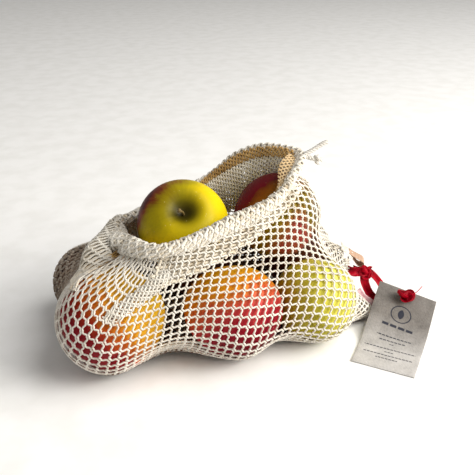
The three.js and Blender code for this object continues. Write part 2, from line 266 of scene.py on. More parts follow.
def fold_line(row):
    """The column that the side fold runs along, from the left-hand corner down to the heel."""
    return 28.0 - 0.87 * (29.3 - row)


ridge = 8 * bell((column - fold_line(row)) / 1.1) * smooth((row - 24.2) / 3.5)
pinch = -11 * bell((column - 24.0) / 0.8) * bell((row - 27.4) / 2.4)
gathers = bell((column - 22.3) / 1.6) * bell((row - 26.5) / 2.2)
pleats = 1.3 * np.sin(2 * np.pi * (column + 0.25 * row) / 0.85) * gathers
skin = pushed(drape, ridge + pinch + pleats)
skin = pulled(skin, (-68, -95, 8), (24, 32, 24), (0, 15, 3))  # between the heel's apple and the middle one
skin = pulled(skin, (12, -95, 6), (16, 32, 18), (0, 9, 2))  # between the middle one and the toe's
skin = pulled(skin, (-95, -26, 96), (20, 24, 20), (4, 0, -7))  # the slack corner hangs a little
skin = np.concatenate([skin, skin[:, :1]], 1)  # cut open at the right-hand corner, at the real bag's seam

# %% [markdown]
# ## The net's own measure
#
# A net is knitted flat and evenly, so its holes keep their size wherever it bulges. To draw it, the skin
# needs a flat pattern, as a tailor would say. An unwrap with least stretch finds one that never folds
# over itself. It has to give way somewhere, and it does so at the mouth, where the real net is gathered
# by its cord as well. The toe is gathered too, so before it is laid flat the skin is loosened there, as
# if it still had all its cloth.

# %% Lay the skin flat
STITCH = 4.2  # mm between wales, and between courses
KNITTED_AT = 8.5  # degrees between the courses and the bag's round, at the middle of the front
TOE = np.array([90, -32, 24.0])
# where the net turned as it slumped: column and row, degrees, its reach in stitches, and how much finer it is
TWISTS = (
    (19.2, 19.4, 29, 16, 1.12),
    (8.6, 13.2, -23, 18, 1.0),
    (6.5, 22.5, 0, 11, 1.16),
)


def mesh_of(name, points, faces, material=None):
    """A mesh in the scene from points in millimetres. One that gets a material is shaded smooth."""
    mesh = bpy.data.meshes.new(name)
    mesh.from_pydata(((points.reshape(-1, 3) + SHIFT) * MM).tolist(), [], faces)
    if material:
        mesh.shade_smooth()
        mesh.materials.append(material)
    made = bpy.data.objects.new(name, mesh)
    bpy.context.collection.objects.link(made)
    return made


def grid_faces(rows, columns):
    j, k = np.meshgrid(np.arange(rows - 1), np.arange(columns - 1), indexing="ij")
    a = (j * columns + k).ravel()
    return np.stack([a, a + columns, a + columns + 1, a + 1], 1)


def lay_flat(grid):
    """Places on a flat pattern for a grid of points, in millimetres."""
    made = mesh_of("pattern", grid, grid_faces(*grid.shape[:2]).tolist())
    made.data.uv_layers.new(name="flat")
    bpy.ops.object.select_all(action="DESELECT")
    bpy.context.view_layer.objects.active = made
    made.select_set(True)
    bpy.ops.object.mode_set(mode="EDIT")
    bpy.ops.mesh.select_all(action="SELECT")
    bpy.ops.uv.unwrap(method="MINIMUM_STRETCH", iterations=30)
    bpy.ops.object.mode_set(mode="OBJECT")
    corners = np.empty((len(made.data.loops), 2))
    made.data.uv_layers["flat"].data.foreach_get("uv", corners.ravel())
    knots = np.empty(len(corners), int)
    made.data.loops.foreach_get("vertex_index", knots)
    bpy.data.objects.remove(made)
    flat = np.empty((knots.max() + 1, 2))
    flat[knots] = corners
    flat = flat.reshape(*grid.shape[:2], 2)
    # it comes back in the real size, measured where the net isn't gathered
    real, drawn = (np.linalg.norm(np.diff(part[20:], axis=1), axis=-1) for part in (grid, flat))
    return flat * (-1, 1) * np.median(real[:, 10:80] / drawn[:, 10:80])


def halved(grid):
    """The grid with a new line halfway between each two."""
    rows = np.empty((2 * len(grid) - 1, *grid.shape[1:]))
    rows[::2], rows[1::2] = grid, (grid[:-1] + grid[1:]) / 2
    both = np.empty((len(rows), 2 * rows.shape[1] - 1, *grid.shape[2:]))
    both[:, ::2], both[:, 1::2] = rows, (rows[:, :-1] + rows[:, 1:]) / 2
    return both


from_toe = skin - TOE
near_toe = bell(np.linalg.norm(from_toe, axis=-1, keepdims=True) / 60)
flat = halved(lay_flat((TOE + from_toe * (1 + 0.5 * near_toe))[::2, ::2]))
ahead = flat[72, 54] - flat[72, 50]  # along the bag's round, at the middle of the front


def turned(flat, degrees):
    """Places on the pattern turned about nought, by one angle or by an angle for each place."""
    angle = np.radians(degrees)
    x, y = flat[..., 0], flat[..., 1]
    return np.stack([x * np.cos(angle) - y * np.sin(angle), x * np.sin(angle) + y * np.cos(angle)], -1)


stitches = turned(flat, KNITTED_AT - np.degrees(np.arctan2(ahead[1], ahead[0]))) / STITCH
for at_column, at_row, degrees, reach, finer_by in TWISTS:
    from_here = stitches - stitches[round(KNOTS * at_row), round(KNOTS * at_column)]
    share = bell(np.linalg.norm(from_here, axis=-1) / reach)
    closer = 1 + (finer_by - 1) * share[..., None]
    stitches = stitches - from_here + turned(from_here, degrees * share) * closer
stitches = stitches - np.floor(stitches.min((0, 1))) + 1  # counted from one corner, so none is below nought
print("stitches across", np.ptp(stitches[..., 0]).round(), "and up", np.ptp(stitches[..., 1]).round())

# %% [markdown]
# ## Surfaces for the thread to follow
#
# Every layer of net is knitted over a surface: the whole skin, or a patch of it that stands a little off.
# A patch is given by the columns and rows that it covers and by how far it stands out. The surfaces are
# only guides: the thread that follows them is what stays.

# %% Guide surfaces
AWAY = unit(np.cross(np.gradient(skin, axis=0), np.gradient(skin, axis=1)))  # straight out of the skin


def skin_at(grid, column, row):
    """The grid's value between its knots, at a column and a row of the first layout."""
    c = np.clip(np.mod(column, COLUMNS + 0.0001) * KNOTS, 0, grid.shape[1] - 1.001)
    r = np.clip(row * KNOTS, 0, grid.shape[0] - 1.001)
    i, j = c.astype(int), r.astype(int)
    c, r = (c - i)[..., None], (r - j)[..., None]
    near = grid[j, i] * (1 - c) + grid[j, i + 1] * c
    far = grid[j + 1, i] * (1 - c) + grid[j + 1, i + 1] * c
    return near * (1 - r) + far * r


HUNDRED = 100  # the UV map counts in hundreds of stitches, as a place on it is found fast only near 0 to 1


def surface(name, points, measure):
    """A mesh over a grid of points in millimetres, with its measure as a UV map called stitches."""
    faces = grid_faces(*points.shape[:2])
    made = mesh_of(name + "_guide", points, faces.tolist())
    layer = made.data.uv_layers.new(name="stitches")
    layer.data.foreach_set("uv", measure.reshape(-1, 2)[faces.ravel()].ravel() / HUNDRED)
    made.data.shade_smooth()
    return made


print("the skin faces out:", bool((AWAY * (skin - MIDDLE)).sum(-1).mean() > 0))

# %% [markdown]
# ## Colour and node helpers
#
# Colours are written as they look on screen and turned to linear light once, here. One helper adds a node
# with its settings and links, whatever kind of tree it is for, and leaves the sockets to another, which
# also fills the sockets of the shader that every new material comes with.

# %% Helpers for trees and colours
def linear(colour):
    """An sRGB hex colour as linear RGBA."""
    parts = [int(colour[i : i + 2], 16) / 255 for i in (1, 3, 5)]
    return (*(p / 12.92 if p <= 0.04045 else ((p + 0.055) / 1.055) ** 2.4 for p in parts), 1)


def fill(tree, node, inputs):
    """Gives sockets, by name or number, a value or a link. A node stands for its first output in use."""
    for name, value in inputs.items():
        if isinstance(name, int):
            socket = node.inputs[name]
        else:
            socket = next(s for s in node.inputs if s.enabled and s.name == name)
        if isinstance(value, bpy.types.Node):
            value = next(out for out in value.outputs if out.enabled)
        if isinstance(value, bpy.types.NodeSocket):
            tree.links.new(value, socket)
        else:
            socket.default_value = value


def add(tree, kind, inputs=None, **settings):
    """A node with its settings and links. A maths node adds unless it is told otherwise."""
    made = tree.nodes.new(kind)
    for name, value in settings.items():
        setattr(made, name, value)
    fill(tree, made, inputs or {})
    return made


# %% [markdown]
# ## Thread along a wale
#
# Each wale is one thread that swings to the right and to the left, and its neighbour swings the other
# way, so that the two touch and part again. Where they part they leave a large round hole. Where they
# meet, each thread tucks back a little from the touching place, which leaves the small hole in the middle
# of every four large ones. Modelling one mesh by hand and repeating it would tear wherever the bag
# bulges. A Geometry Nodes tree can instead write down where each point of each thread is in stitches, and
# look up where that place is on the guide surface.

# %% The thread tree
NET_INPUTS = {
    "Surface": ("NodeSocketGeometry", None),
    "First Wale": ("NodeSocketInt", 0),
    "Wales": ("NodeSocketInt", 10),
    "First Course": ("NodeSocketInt", 0),
    "Courses": ("NodeSocketInt", 10),
    "Steps per Course": ("NodeSocketInt", 7),
    "Swing": ("NodeSocketFloat", 0.73),
    "Tuck": ("NodeSocketFloat", 0.46),
    "Unevenness": ("NodeSocketFloat", 0.12),
    "Thread Radius": ("NodeSocketFloat", 0.001),
    "Lift": ("NodeSocketFloat", 0.0),
    "Sides": ("NodeSocketInt", 5),
    "Material": ("NodeSocketMaterial", None),
}


def thread_tree():
    tree = bpy.data.node_groups.new("threads_along_wales", "GeometryNodeTree")
    for name, (kind, default) in NET_INPUTS.items():
        socket = tree.interface.new_socket(name, in_out="INPUT", socket_type=kind)
        if default is not None:
            socket.default_value = default
    tree.interface.new_socket("Net", in_out="OUTPUT", socket_type="NodeSocketGeometry")
    given = add(tree, "NodeGroupInput").outputs

    # which wale each point is on, and how far up it
    inputs = {0: given["Courses"], 1: given["Steps per Course"], 2: 1.0}
    per_wale = add(tree, "ShaderNodeMath", inputs, operation="MULTIPLY_ADD")
    count = add(tree, "ShaderNodeMath", {0: per_wale, 1: given["Wales"]}, operation="MULTIPLY")
    points = add(tree, "GeometryNodePoints", {"Count": count})
    index = add(tree, "GeometryNodeInputIndex")
    half_on = add(tree, "ShaderNodeMath", {0: index, 1: 0.5})
    wales_before = add(tree, "ShaderNodeMath", {0: half_on, 1: per_wale}, operation="DIVIDE")
    number = add(tree, "ShaderNodeMath", {0: wales_before}, operation="FLOOR")
    wale = add(tree, "ShaderNodeMath", {0: number, 1: given["First Wale"]})
    points_before = add(tree, "ShaderNodeMath", {0: number, 1: per_wale}, operation="MULTIPLY")
    step = add(tree, "ShaderNodeMath", {0: index, 1: points_before}, operation="SUBTRACT")
    up = add(tree, "ShaderNodeMath", {0: step, 1: given["Steps per Course"]}, operation="DIVIDE")
    course = add(tree, "ShaderNodeMath", {0: up, 1: given["First Course"]})

    # the swing to either side of the wale's middle, which every second wale starts on the other side
    turn = add(tree, "ShaderNodeMath", {0: wale, 1: course})
    turn = add(tree, "ShaderNodeMath", {0: turn, 1: math.pi}, operation="MULTIPLY")
    swung = add(tree, "ShaderNodeMath", {0: turn}, operation="COSINE")
    at_the_side = add(tree, "ShaderNodeMath", {0: swung, 1: swung}, operation="MULTIPLY")
    tucked = add(tree, "ShaderNodeMath", {0: given["Tuck"], 1: at_the_side}, operation="MULTIPLY")
    reach = add(tree, "ShaderNodeMath", {0: given["Swing"], 1: tucked}, operation="SUBTRACT")
    aside = add(tree, "ShaderNodeMath", {0: swung, 1: reach}, operation="MULTIPLY")

    # no two stitches are quite alike
    stitch = add(tree, "ShaderNodeCombineXYZ", {0: wale, 1: course})
    slow = add(tree, "ShaderNodeVectorMath", {0: stitch, "Scale": 0.37}, operation="SCALE")
    noise = add(tree, "ShaderNodeTexNoise", {"Vector": slow, "Scale": 1.0, "Detail": 1.0})
    uneven = add(tree, "ShaderNodeMath", {0: noise, 1: 0.5}, operation="SUBTRACT")
    uneven = add(tree, "ShaderNodeMath", {0: uneven, 1: given["Unevenness"]}, operation="MULTIPLY")
    middle = add(tree, "ShaderNodeMath", {0: wale, 1: 0.5})
    middle = add(tree, "ShaderNodeMath", {0: middle, 1: uneven})
    sideways = add(tree, "ShaderNodeMath", {0: middle, 1: aside})
    upward = add(tree, "ShaderNodeMath", {0: course, 1: uneven})
    at = add(tree, "ShaderNodeCombineXYZ", {0: sideways, 1: upward})
    at = add(tree, "ShaderNodeVectorMath", {0: at, 1: (HUNDRED, HUNDRED, HUNDRED)}, operation="DIVIDE")

    # where that is on the surface
    measure = add(tree, "GeometryNodeInputNamedAttribute", {"Name": "stitches"}, data_type="FLOAT_VECTOR")

    def sampled(value):
        inputs = {"Mesh": given["Surface"], "Value": value, "UV Map": measure, "Sample UV": at}
        return add(tree, "GeometryNodeSampleUVSurface", inputs, data_type="FLOAT_VECTOR")

    on_surface = sampled(add(tree, "GeometryNodeInputPosition"))
    outward = sampled(add(tree, "GeometryNodeInputNormal").outputs["Normal"])
    out = add(tree, "ShaderNodeVectorMath", {0: outward, "Scale": given["Lift"]}, operation="SCALE")
    lifted = add(tree, "ShaderNodeVectorMath", {0: on_surface, 1: out})
    missing = add(tree, "FunctionNodeBooleanMath", {0: on_surface.outputs["Is Valid"]}, operation="NOT")

    # a thread that leaves the surface and comes back starts afresh
    gaps = add(tree, "GeometryNodeAccumulateField", {0: missing}, data_type="INT")
    inputs = {0: number, 1: 100000.0, 2: gaps.outputs["Trailing"]}
    group = add(tree, "ShaderNodeMath", inputs, operation="MULTIPLY_ADD")
    placed = add(tree, "GeometryNodeSetPosition", {"Geometry": points, "Position": lifted})
    inputs = {"Geometry": placed, "Name": "run", "Value": group}
    marked = add(tree, "GeometryNodeStoreNamedAttribute", inputs, data_type="FLOAT")
    kept = add(tree, "GeometryNodeDeleteGeometry", {"Geometry": marked, "Selection": missing}, domain="POINT")
    run = add(tree, "GeometryNodeInputNamedAttribute", {"Name": "run"}, data_type="FLOAT")
    lines = add(tree, "GeometryNodePointsToCurves", {"Points": kept, "Curve Group ID": run})

    # one that touches the surface at a single point has no length, so it is left out
    inputs = {"A": add(tree, "GeometryNodeSplineLength").outputs["Point Count"], "B": 2}
    single = add(tree, "FunctionNodeCompare", inputs, data_type="INT", operation="LESS_THAN")
    lines = add(tree, "GeometryNodeDeleteGeometry", {"Geometry": lines, "Selection": single}, domain="CURVE")
    inputs = {"Resolution": given["Sides"], "Radius": given["Thread Radius"]}
    outline = add(tree, "GeometryNodeCurvePrimitiveCircle", inputs)
    inputs = {"Curve": lines, "Profile Curve": outline, "Fill Caps": True}
    rope = add(tree, "GeometryNodeCurveToMesh", inputs)
    smoothed = add(tree, "GeometryNodeSetShadeSmooth", {0: rope})
    real = add(tree, "GeometryNodeRealizeInstances", {0: smoothed})
    finished = add(tree, "GeometryNodeSetMaterial", {0: real, "Material": given["Material"]})
    tree.links.new(finished.outputs[0], add(tree, "NodeGroupOutput").inputs[0])
    return tree


NET_TREE = thread_tree()
SOCKETS = {item.name: item.identifier for item in NET_TREE.interface.items_tree if item.in_out == "INPUT"}
print("thread tree:", len(NET_TREE.nodes), "nodes")


def knitted(name, guide, material, radius, lift, pieces=1, **inputs):
    """Thread over a guide surface, as plain meshes split between wales. The guide goes.

    radius is the thread's, and lift is how far the thread stands off the guide, both in metres."""
    layer = guide.data.uv_layers["stitches"].data
    measure = np.empty(2 * len(layer))
    layer.foreach_get("uv", measure)
    measure = measure.reshape(-1, 2) * HUNDRED
    cuts = np.floor(np.quantile(measure[:, 0], np.arange(pieces + 1) / pieces)).astype(int)
    cuts[-1] += 1
    first, last = int(np.floor(measure[:, 1].min())), int(np.ceil(measure[:, 1].max()))
    made = []
    for number in range(pieces):
        modifier = guide.modifiers.new("net", "NODES")
        modifier.node_group = NET_TREE
        settings = {
            "First Wale": int(cuts[number]),
            "Wales": int(cuts[number + 1] - cuts[number]),
            "First Course": first,
            "Courses": last - first,
            "Thread Radius": radius,
            "Lift": lift,
            "Material": material,
            **inputs,
        }
        for title, value in settings.items():
            modifier[SOCKETS[title]] = value
        evaluated = guide.evaluated_get(bpy.context.evaluated_depsgraph_get())
        mesh = bpy.data.meshes.new_from_object(evaluated)
        guide.modifiers.remove(modifier)
        for spare in [a.name for a in mesh.attributes if a.name in ("run", "radius")]:
            mesh.attributes.remove(mesh.attributes[spare])
        mesh.name = name if pieces == 1 else f"{name}_{number + 1}"
        part = bpy.data.objects.new(mesh.name, mesh)
        bpy.context.collection.objects.link(part)
        made.append(part)
        print(part.name, sum(len(face.vertices) - 2 for face in mesh.polygons), "triangles")
    bpy.data.objects.remove(guide)
    return made


# %% [markdown]
# ## Undyed cotton
#
# The yarn is spun cotton that was never bleached: matt, a little fuzzy, cream with flecks of seed. The
# fuzz catches light at grazing angles, which a sheen gives. The flecks and the fibres come from noise in
# real millimetres. The same yarn looks warmer or darker where light reaches it only through other layers,
# so it has several shades, which are painted light and painted shade: paler inside the hood, and darkest
# where no light reaches it.

# %% Cotton material
def new_material(name):
    material = bpy.data.materials.new(name)
    material.use_nodes = True
    tree = material.node_tree
    shader = tree.nodes["Principled BSDF"]
    return material, tree, shader


def grains(tree, size, detail=2.0, stretch=(1, 1, 1)):
    """Noise whose grains are about size millimetres across."""
    place = add(tree, "ShaderNodeTexCoord").outputs["Object"]
    scaled = add(tree, "ShaderNodeMapping", {"Vector": place, "Scale": stretch})
    inputs = {"Vector": scaled, "Scale": 1 / (size * MM), "Detail": detail}
    return add(tree, "ShaderNodeTexNoise", inputs)


def with_stops(ramp, stops):
    """A colour ramp's stops, as places and hex colours."""
    elements = ramp.color_ramp.elements
    while len(elements) < len(stops):
        elements.new(0.5)
    for element, (place, colour) in zip(elements, stops):
        element.position = place
        element.color = linear(colour)
    return ramp


def cotton(name, pale, shade):
    material, tree, shader = new_material(name)
    wash = grains(tree, 14)  # the yarn's colour drifts along the thread
    fleck = grains(tree, 1.1)
    drift = add(tree, "ShaderNodeMath", {0: wash, 1: 0.6}, operation="MULTIPLY")
    drift = add(tree, "ShaderNodeMath", {0: fleck, 1: 0.4, 2: drift}, operation="MULTIPLY_ADD")
    colour = add(tree, "ShaderNodeValToRGB", {"Fac": drift})
    with_stops(colour, [(0.36, shade), (0.52, pale), (1, pale)])
    fibres = grains(tree, 0.45, 3.0)  # drawn a little coarser than they are
    relief = add(tree, "ShaderNodeBump", {"Height": fibres, "Distance": 0.35 * MM})
    finish = {
        "Base Color": colour, "Roughness": 0.9, "Specular IOR Level": 0.2, "Sheen Weight": 0.25,
        "Sheen Roughness": 0.5, "Normal": relief,
    }
    fill(tree, shader, finish)
    return material


NET_COTTON = cotton("undyed cotton yarn", "#e7e2d7", "#c9c0b0")
SHADED_COTTON = cotton("undyed cotton yarn, inner layers", "#efe5d2", "#cdbb9c")
WARM_COTTON = cotton("undyed cotton yarn, lit through the net", "#c8a264", "#94703a")
TAN_COTTON = cotton("undyed cotton yarn, in the shade of the rim", "#dcc094", "#b2925e")
# painted light: the hood's inner wall is paler, as if lit through the net from behind
LIT_HOOD_COTTON = cotton("undyed cotton yarn, inside of the hood", "#fbf6ea", "#ece2d0")
# painted deep shade: this darkest yarn stands for the shade under and behind the fruit
DEEP_SHADE_COTTON = cotton("undyed cotton yarn, in painted deep shade", "#6c4c32", "#463020")

# %% [markdown]
# ## The net
#
# The whole skin is knitted first. It comes in several pieces, cut between wales, only to keep each mesh
# small.

# %% Knit the bag
THREAD = 0.69 * MM  # radius
DEEP = -NET * MM + THREAD * 0.6  # the thread presses on the fruit, so it lies inside the net's outer face
net = knitted("net", surface("skin", skin, stitches), NET_COTTON, THREAD, DEEP, pieces=3)

# %% [markdown]
# ## The turned-down front, the side fold and the hood's lining
#
# Along the front the mouth is turned over on itself, so there the net lies in three layers and hides the
# fruit. The same happens in the side fold on the left and inside the hood. Each extra layer is a patch of
# the same net that stands a little off the first and is shifted by part of a stitch, because real layers
# never line up. Three kinds of patch do other work: small ridges pinch up along the crease, slack net
# hangs below and behind the fruit in dark yarn that is painted shade, and the threads on the heel's far
# side are drawn again in a darker yarn, as painted shade.

# %% Extra layers
def patch(name, columns, rows, out, slide, density, finer=1.0):
    """A guide over part of the skin. out gives millimetres off the skin, slide shifts its stitches, and finer
    makes them smaller."""
    s, t = np.meshgrid(np.linspace(0, 1, density[0]), np.linspace(0, 1, density[1]))
    column = columns(s, t) if callable(columns) else columns[0] + (columns[1] - columns[0]) * s
    row = rows(s, t) if callable(rows) else rows[0] + (rows[1] - rows[0]) * t
    points = skin_at(skin, column, row) + skin_at(AWAY, column, row) * out(s, t)[..., None]
    points[..., 2] = np.maximum(points[..., 2], GROUND)
    return surface(name, points, skin_at(stitches, column, row) * finer + np.array(slide))


def level(height):
    """The same height all over a patch."""
    return lambda s, t: np.full(s.shape, float(height))


def rolled(s, t, height):
    """A layer's height over the skin: it starts from a soft edge below and fades out at both ends."""
    return height * np.sqrt(smooth(t / 0.16)) * smooth(s / 0.12) * smooth((1 - s) / 0.12)


PLAIN = {"Steps per Course": 4, "Sides": 4}  # for layers that only show through others
CUFF_COLUMNS, CUFF_ROWS = (3.0, 17.6), (22.8, 29.6)
layers = []
for name, height, slide, radius, cloth in (
    ("cuff_under", 2.0, (0.5, 0.1), 1.6 * THREAD, SHADED_COTTON),
    ("cuff_over", 4.2, (0.15, 0.6), THREAD, NET_COTTON),
):
    guide = patch(name, CUFF_COLUMNS, CUFF_ROWS, lambda s, t, h=height: rolled(s, t, h), slide, (150, 60))
    layers += knitted(name, guide, cloth, radius, DEEP / 2)

FOLD_ROWS = (24.4, 29.8)


def fold_column(s, t):
    return fold_line(FOLD_ROWS[0] + np.ptp(FOLD_ROWS) * t) + 3.6 * (s - 0.5)


def fold_height(s, t, height):
    return height * np.sqrt(np.maximum(np.sin(np.pi * s), 0)) * smooth(t / 0.5)


for name, height, slide, radius, cloth in (
    ("fold_under", 1.6, (0.5, 0.1), 1.4 * THREAD, SHADED_COTTON),
    ("fold_over", 4.0, (0.1, 0.5), THREAD, NET_COTTON),
):
    guide = patch(name, fold_column, FOLD_ROWS, lambda s, t, h=height: fold_height(s, t, h), slide, (50, 70))
    layers += knitted(name, guide, cloth, radius, DEEP / 2)

# light comes warm through the gathers in the valley beside the fold
guide = patch("fold_valley", (23.6, 24.8), (25.8, 28.7), level(0.3), (0.4, 0.3), (20, 40), 1.8)
layers += knitted("fold_valley", guide, WARM_COTTON, THREAD, 0.0, **PLAIN)


# where the turned-down front runs out, its layers bunch into one crease that crosses the heel's apple
def crease_column(s, t):
    return 16.4 + 2.8 * t + 0.5 * (s - 0.5)


def crease_row(s, t):
    return 24.3 - 2.8 * t + 1.9 * (s - 0.5) * (1 - 0.5 * t)


def crease_height(s, t):
    """It stands up in the middle and dives under the net at its edges and its end."""
    return -0.8 + 2.6 * np.sin(np.pi * s) * smooth((1 - t) / 0.5) - 1.6 * smooth((t - 0.6) / 0.4)


for number, slide in enumerate(((0.5, 0.1), (0.2, 0.6))):
    guide = patch(f"crease_{number + 1}", crease_column, crease_row, crease_height, slide, (24, 70), 1.6)
    lift = DEEP / 2 * (1 - number)
    layers += knitted(f"crease_{number + 1}", guide, NET_COTTON, 0.85 * THREAD, lift)

# the slack of the net lies gathered under and behind the fruit, so no light comes through between the apples;
# its dark yarn is painted shade
for name, columns, rows, depth, finer in (
    ("slack_heel", (22.5, 32), (8.5, 16), 1.4, 1.5),
    ("slack_middle", (22.5, 29), (3, 8.5), 1.4, 1.5),
    ("slack_behind_1", (31.8, 34.8), (15, 19.5), 1.4, 1.5),
    ("slack_behind_2", (33.6, 38.6), (10.5, 16.5), 2.4, 2.0),
    ("slack_corner", (22.8, 25.2), (25, 28.4), 1.4, 1.5),
    ("slack_lobe", (25.2, 29.5), (18, 27.5), 2.3, 1.5),
):
    guide = patch(name, columns, rows, level(-depth), (0.5, 0.3), (60, 60), finer)
    layers += knitted(name, guide, DEEP_SHADE_COTTON, 1.1 * MM, 0.0, **PLAIN)

# the far side of the heel is in painted shade: there the same threads are drawn once more, a little thicker,
# in a darker yarn
HEEL_SHADE_COTTON = cotton("undyed cotton yarn, painted shade on the heel's far side", "#a08e7c", "#7c6c5c")
guide = patch("shaded_heel_side", (25.0, 31), (17, 26.8), level(0), (0, 0), (60, 60))
layers += knitted("shaded_heel_side", guide, HEEL_SHADE_COTTON, 1.15 * THREAD, DEEP)


# inside the hood the net hangs in folds behind the rim, so it is closed to the eye. The skin is cut open at
# column 0, and no patch crosses that.
def lining_height(depth):
    return lambda s, t: -depth * smooth(s / 0.1) * smooth((1 - s) / 0.1)


BEHIND, CORNER = (33, 52), (0, 4.5)
# the lining's pale yarn is painted light, as if lit through the net from behind
for name, columns, rows, depth, slide, finer, cloth in (
    ("hood_lining_1", BEHIND, (20.5, 29.4), 2.6, (0.5, 0.3), 1.8, LIT_HOOD_COTTON),
    ("hood_lining_2", CORNER, (24, 29.4), 2.6, (0.5, 0.3), 1.8, LIT_HOOD_COTTON),
    ("hood_lining_3", BEHIND, (20.5, 29.1), 4.0, (0.1, 0.8), 2.1, LIT_HOOD_COTTON),
    ("hood_lining_4", BEHIND, (28.1, 29.6), 4.8, (0.1, 0.8), 2.2, WARM_COTTON),
):
    guide = patch(name, columns, rows, lining_height(depth), slide, (130, 60), finer)
    layers += knitted(name, guide, cloth, 0.9 * MM, 0.0, **PLAIN)


def lengths(points):
    """How far each point of a grid lies from its first row and column, in millimetres."""
    along = np.linalg.norm(np.diff(points, axis=1), axis=-1).mean(0)
    up = np.linalg.norm(np.diff(points, axis=0), axis=-1).mean(1)
    across, high = np.meshgrid(np.r_[0, np.cumsum(along)], np.r_[0, np.cumsum(up)])
    return np.stack([across, high], -1) + 1


# at the hood's right-hand corner the front wall leans in, so that a flap of its inner side shows
def flap(name, columns):
    s, t = np.meshgrid(np.linspace(*columns, 30), np.linspace(0, 1, 20))
    rim, inner = skin_at(skin, s, np.full(s.shape, 29.6)), skin_at(AWAY, s, np.full(s.shape, 29.0))
    from_corner = np.mod(s + COLUMNS / 2, COLUMNS) - COLUMNS / 2
    bulge = bell((from_corner - 1.5) / 3.4)[..., None]
    points = rim - inner * t[..., None] * 17 * bulge - np.array([0, 0, 1]) * (2 + 6 * t[..., None] * bulge)
    return surface(name, points, lengths(points) / STITCH * 2.5)


for number, columns in enumerate(((48.5, COLUMNS), (0, 6.0))):
    name = f"hood_flap_{number + 1}"
    layers += knitted(name, flap(name, columns), TAN_COTTON, 0.62 * MM, 0.0)

# %% [markdown]
# ## The hem
#
# The mouth is finished with a casing: the net is knitted tightly there, folded over the cord and caught
# down. It reads as a row of plump ribs, one to each wale, that end in small loops along the edge. The
# guide is a flattened tube round the mouth. The same tree knits it, with a small swing and a thick
# thread, over a core that keeps it opaque.

# %% Knit the hem
HEM_WIDTH = 12.0  # mm, down from the edge
HEM_THICK = 4.4
RIB = 4.2  # mm between ribs


def hem_points(size, count=440, turns=48):
    """A flattened tube along the mouth's edge, as rings across it. size is its share of the full hem."""
    column = np.linspace(0, COLUMNS, count)
    edge = skin_at(skin, column, np.full(count, float(ROWS)))
    below = skin_at(skin, column, np.full(count, 27.6))
    down = unit(below - edge)
    out = skin_at(AWAY, column, np.full(count, 29.2))
    out = unit(out - down * (out * down).sum(-1, keepdims=True))
    # over the turned-down front it stands out
    lean = 2.2 * smooth((column - 3) / 3) * smooth((21 - column) / 3)
    angle = np.linspace(0, 2 * np.pi, turns)[:, None, None]
    tall, thick = HEM_WIDTH / 2 * size, HEM_THICK / 2 * size
    across = np.sign(np.sin(angle)) * abs(np.sin(angle)) ** 0.8 * thick
    middle = edge + down * (HEM_WIDTH / 2 - 1) + out * lean[:, None]
    return middle + down * (np.cos(angle) * tall) + out * across


def closed_tube(name, points, material):
    """A ring-shaped tube with no seam left open."""
    turns, count = points.shape[0] - 1, points.shape[1] - 1
    points = points[:-1, :-1]
    j, k = np.meshgrid(np.arange(turns), np.arange(count), indexing="ij")
    j2, k2 = (j + 1) % turns, (k + 1) % count
    faces = np.stack([j * count + k, j * count + k2, j2 * count + k2, j2 * count + k], -1).reshape(-1, 4)
    return mesh_of(name, points, faces.tolist(), material)


def hem_net(name, size, first, material, radius, **inputs):
    """Ribs round the flattened tube. first shifts them along the mouth, in ribs."""
    points = hem_points(size)
    girth = np.r_[0, np.cumsum(np.linalg.norm(np.diff(points[:, 100], axis=0), axis=1))]
    across = np.broadcast_to(rib_at / rib_at[-1] * ribs + first, points.shape[:2])
    around = np.broadcast_to((girth / girth[-1] * 8)[:, None], points.shape[:2])
    guide = surface(name, points[::-1], np.stack([across, around], -1)[::-1])
    return knitted(name, guide, material, radius, -0.6 * MM, **inputs)


hem = hem_points(1.0)
step = np.linalg.norm(np.diff(hem[12], axis=0), axis=1)
where = np.linspace(0, COLUMNS, len(step))
# the hood's rim is drawn up more than the front
gathered = 1 - 0.32 * smooth((where - 30) / 4) - 0.32 * smooth((2.5 - where) / 2)
rib_at = np.r_[0, np.cumsum(step / (RIB * gathered))]
ribs = round(rib_at[-1] / 2) * 2
outer = {"Swing": 0.5, "Tuck": 0.22, "Unevenness": 0.35}
inner = {"Swing": 0.3, "Tuck": 0.0, "Unevenness": 0.3, **PLAIN}
hem_parts = hem_net("hem", 1.0, 0, NET_COTTON, 1.0 * MM, **outer)
hem_parts += hem_net("hem_inner", 0.78, 1, SHADED_COTTON, 1.2 * MM, **inner)
hem_core = closed_tube("hem_core", hem_points(0.6)[::-1], SHADED_COTTON)

# over the left-hand corner the slack net is folded across the rim, and there it hides the ribs
CORNER_START, CORNER_END = 20.4, 29.8  # columns
where = np.linspace(0, COLUMNS, hem.shape[1])
swell = 0.8 + 0.45 * smooth((where - CORNER_START) / 1.6) * smooth((CORNER_END - where) / 1.6)
fold = hem_points(swell[:, None])[:, (where > CORNER_START) & (where < CORNER_END)]
guide = surface("corner_fold", fold[::-1], lengths(fold)[::-1] / STITCH * 1.35)
hem_parts += knitted("corner_fold", guide, NET_COTTON, THREAD, 0.0)
print("ribs in the hem:", ribs, "length", step.sum().round())

# %% [markdown]
# ## Apples
#
# An apple is not a ball: it has a hollow round the stalk, a shallow basin at the other end, a widest
# place a little above the middle, and five faint lobes. A profile turned round an axis gives that, with a
# slow unevenness on top. The skin's colours follow how the fruit hung on the tree, and on most apples the
# side that faced the sun is also turned from the lamps, so its darker colours are partly painted shade.
# So every apple stores two things on its vertices: how far it faces that way, and a direction along its
# meridians for the streaks.

# %% Apple shapes
VIEW_RIGHT = np.array([math.cos(math.radians(AZIMUTH)), math.sin(math.radians(AZIMUTH)), 0])
VIEW_BACK = np.array([math.sin(math.radians(AZIMUTH)), -math.cos(math.radians(AZIMUTH)), 0])


def facing(right, up, front):
    """A direction given as the bag is looked at from the front."""
    return unit(VIEW_RIGHT * right + np.array([0, 0, 1]) * up + VIEW_BACK * front)


